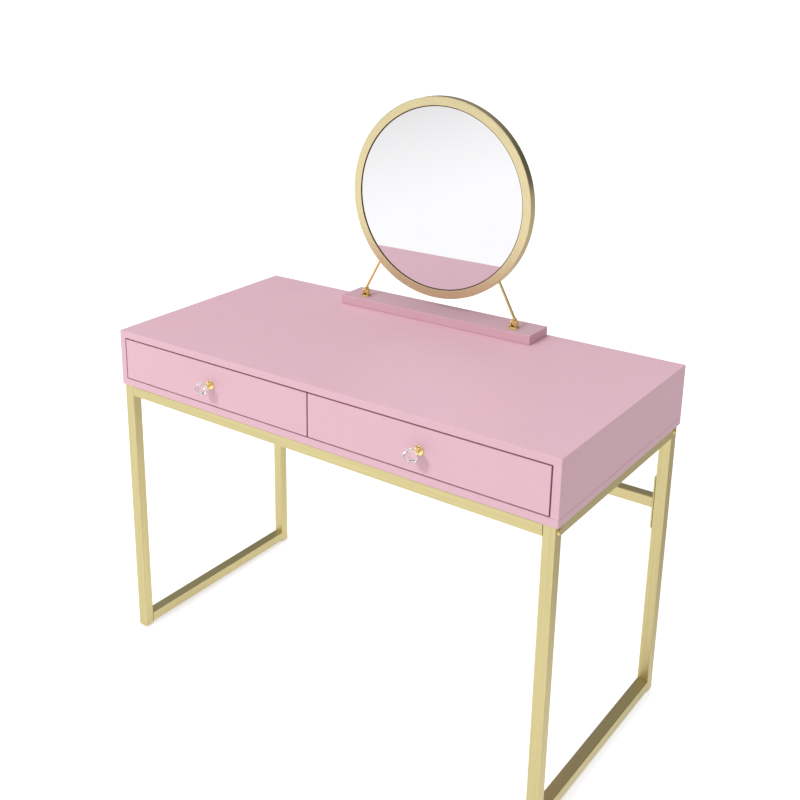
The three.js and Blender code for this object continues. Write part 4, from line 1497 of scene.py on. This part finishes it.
class VANITY_OT_crystals(bpy.types.Operator):
    """Build the two cut crystals of the knobs"""

    bl_idname = "vanity.crystals"
    bl_label = "Crystals"

    def execute(self, context):
        make_crystals()
        return {"FINISHED"}


class VANITY_OT_tubes(bpy.types.Operator):
    """Build the legs, rails and stretcher"""

    bl_idname = "vanity.tubes"
    bl_label = "Frame tubes"

    def execute(self, context):
        make_tubes()
        return {"FINISHED"}


class VANITY_OT_plates(bpy.types.Operator):
    """Build the plates at the stretcher's ends"""

    bl_idname = "vanity.plates"
    bl_label = "Stretcher plates"

    def execute(self, context):
        make_plates()
        return {"FINISHED"}


class VANITY_OT_bolts(bpy.types.Operator):
    """Build the domed bolts at the tops of the legs"""

    bl_idname = "vanity.bolts"
    bl_label = "Frame bolts"

    def execute(self, context):
        make_bolts()
        return {"FINISHED"}


class VANITY_OT_glides(bpy.types.Operator):
    """Build the plastic glides under the legs"""

    bl_idname = "vanity.glides"
    bl_label = "Glides"

    def execute(self, context):
        make_glides()
        return {"FINISHED"}


class VANITY_OT_mirror_base(bpy.types.Operator):
    """Build the lacquered bar that carries the mirror"""

    bl_idname = "vanity.mirror_base"
    bl_label = "Mirror base"

    def execute(self, context):
        make_mirror_base()
        return {"FINISHED"}


class VANITY_OT_mirror_feet(bpy.types.Operator):
    """Build the feet of the mirror and their pins"""

    bl_idname = "vanity.mirror_feet"
    bl_label = "Mirror feet"

    def execute(self, context):
        make_feet()
        return {"FINISHED"}


class VANITY_OT_mirror_rods(bpy.types.Operator):
    """Build the two rods that hold the ring"""

    bl_idname = "vanity.mirror_rods"
    bl_label = "Mirror rods"

    def execute(self, context):
        make_rods()
        return {"FINISHED"}


class VANITY_OT_mirror_ring(bpy.types.Operator):
    """Build the ring round the mirror"""

    bl_idname = "vanity.mirror_ring"
    bl_label = "Mirror ring"

    def execute(self, context):
        make_ring()
        return {"FINISHED"}


class VANITY_OT_mirror_glass(bpy.types.Operator):
    """Build the glass and the backing"""

    bl_idname = "vanity.mirror_glass"
    bl_label = "Mirror glass"

    def execute(self, context):
        make_glass()
        return {"FINISHED"}


class VANITY_OT_frame_screws(bpy.types.Operator):
    """Build the screws of the frame and the feet"""

    bl_idname = "vanity.frame_screws"
    bl_label = "Frame screws"

    def execute(self, context):
        make_screws()
        return {"FINISHED"}


class VANITY_OT_drawer_screws(bpy.types.Operator):
    """Build the screws of the knobs and the slides"""

    bl_idname = "vanity.drawer_screws"
    bl_label = "Drawer screws"

    def execute(self, context):
        make_drawer_screws()
        return {"FINISHED"}


class VANITY_OT_clips(bpy.types.Operator):
    """Build the clips behind the mirror"""

    bl_idname = "vanity.clips"
    bl_label = "Backing clips"

    def execute(self, context):
        make_clips()
        return {"FINISHED"}


class VANITY_OT_welds(bpy.types.Operator):
    """Build the weld beads of the frame"""

    bl_idname = "vanity.welds"
    bl_label = "Weld beads"

    def execute(self, context):
        make_welds()
        return {"FINISHED"}


class VANITY_OT_stage(bpy.types.Operator):
    """Build the floor, the light and the camera"""

    bl_idname = "vanity.stage"
    bl_label = "Studio"

    def execute(self, context):
        make_stage()
        return {"FINISHED"}


OPERATORS = (
    VANITY_OT_case,
    VANITY_OT_drawer_fronts,
    VANITY_OT_drawer_boxes,
    VANITY_OT_slides,
    VANITY_OT_knob_bases,
    VANITY_OT_crystals,
    VANITY_OT_tubes,
    VANITY_OT_plates,
    VANITY_OT_bolts,
    VANITY_OT_glides,
    VANITY_OT_mirror_base,
    VANITY_OT_mirror_feet,
    VANITY_OT_mirror_rods,
    VANITY_OT_mirror_ring,
    VANITY_OT_mirror_glass,
    VANITY_OT_frame_screws,
    VANITY_OT_drawer_screws,
    VANITY_OT_clips,
    VANITY_OT_welds,
    VANITY_OT_stage,
)


class VANITY_PT_build(bpy.types.Panel):
    """Lists the settings and the operators in the order in which they run"""

    bl_label = "Vanity table"
    bl_idname = "VANITY_PT_build"
    bl_space_type = "VIEW_3D"
    bl_region_type = "UI"
    bl_category = "Vanity"

    def draw(self, context):
        layout = self.layout
        for holder in (context.scene.vanity_sizes, context.scene.vanity_finish, context.scene.vanity_stage):
            box = layout.box()
            for name in holder.__annotations__:
                box.prop(holder, name)
        for operator in OPERATORS:
            layout.operator(operator.bl_idname)


CLASSES = (VanitySizes, VanityFinish, VanityStage, *OPERATORS, VANITY_PT_build)


def register():
    for cls in CLASSES:
        bpy.utils.register_class(cls)
    bpy.types.Scene.vanity_sizes = PointerProperty(type=VanitySizes)
    bpy.types.Scene.vanity_finish = PointerProperty(type=VanityFinish)
    bpy.types.Scene.vanity_stage = PointerProperty(type=VanityStage)


def unregister():
    del bpy.types.Scene.vanity_sizes
    del bpy.types.Scene.vanity_finish
    del bpy.types.Scene.vanity_stage
    for cls in reversed(CLASSES):
        bpy.utils.unregister_class(cls)


def main():
    register()
    for operator in OPERATORS:
        group, action = operator.bl_idname.split(".")
        getattr(getattr(bpy.ops, group), action)()


if __name__ == "__main__":
    main()
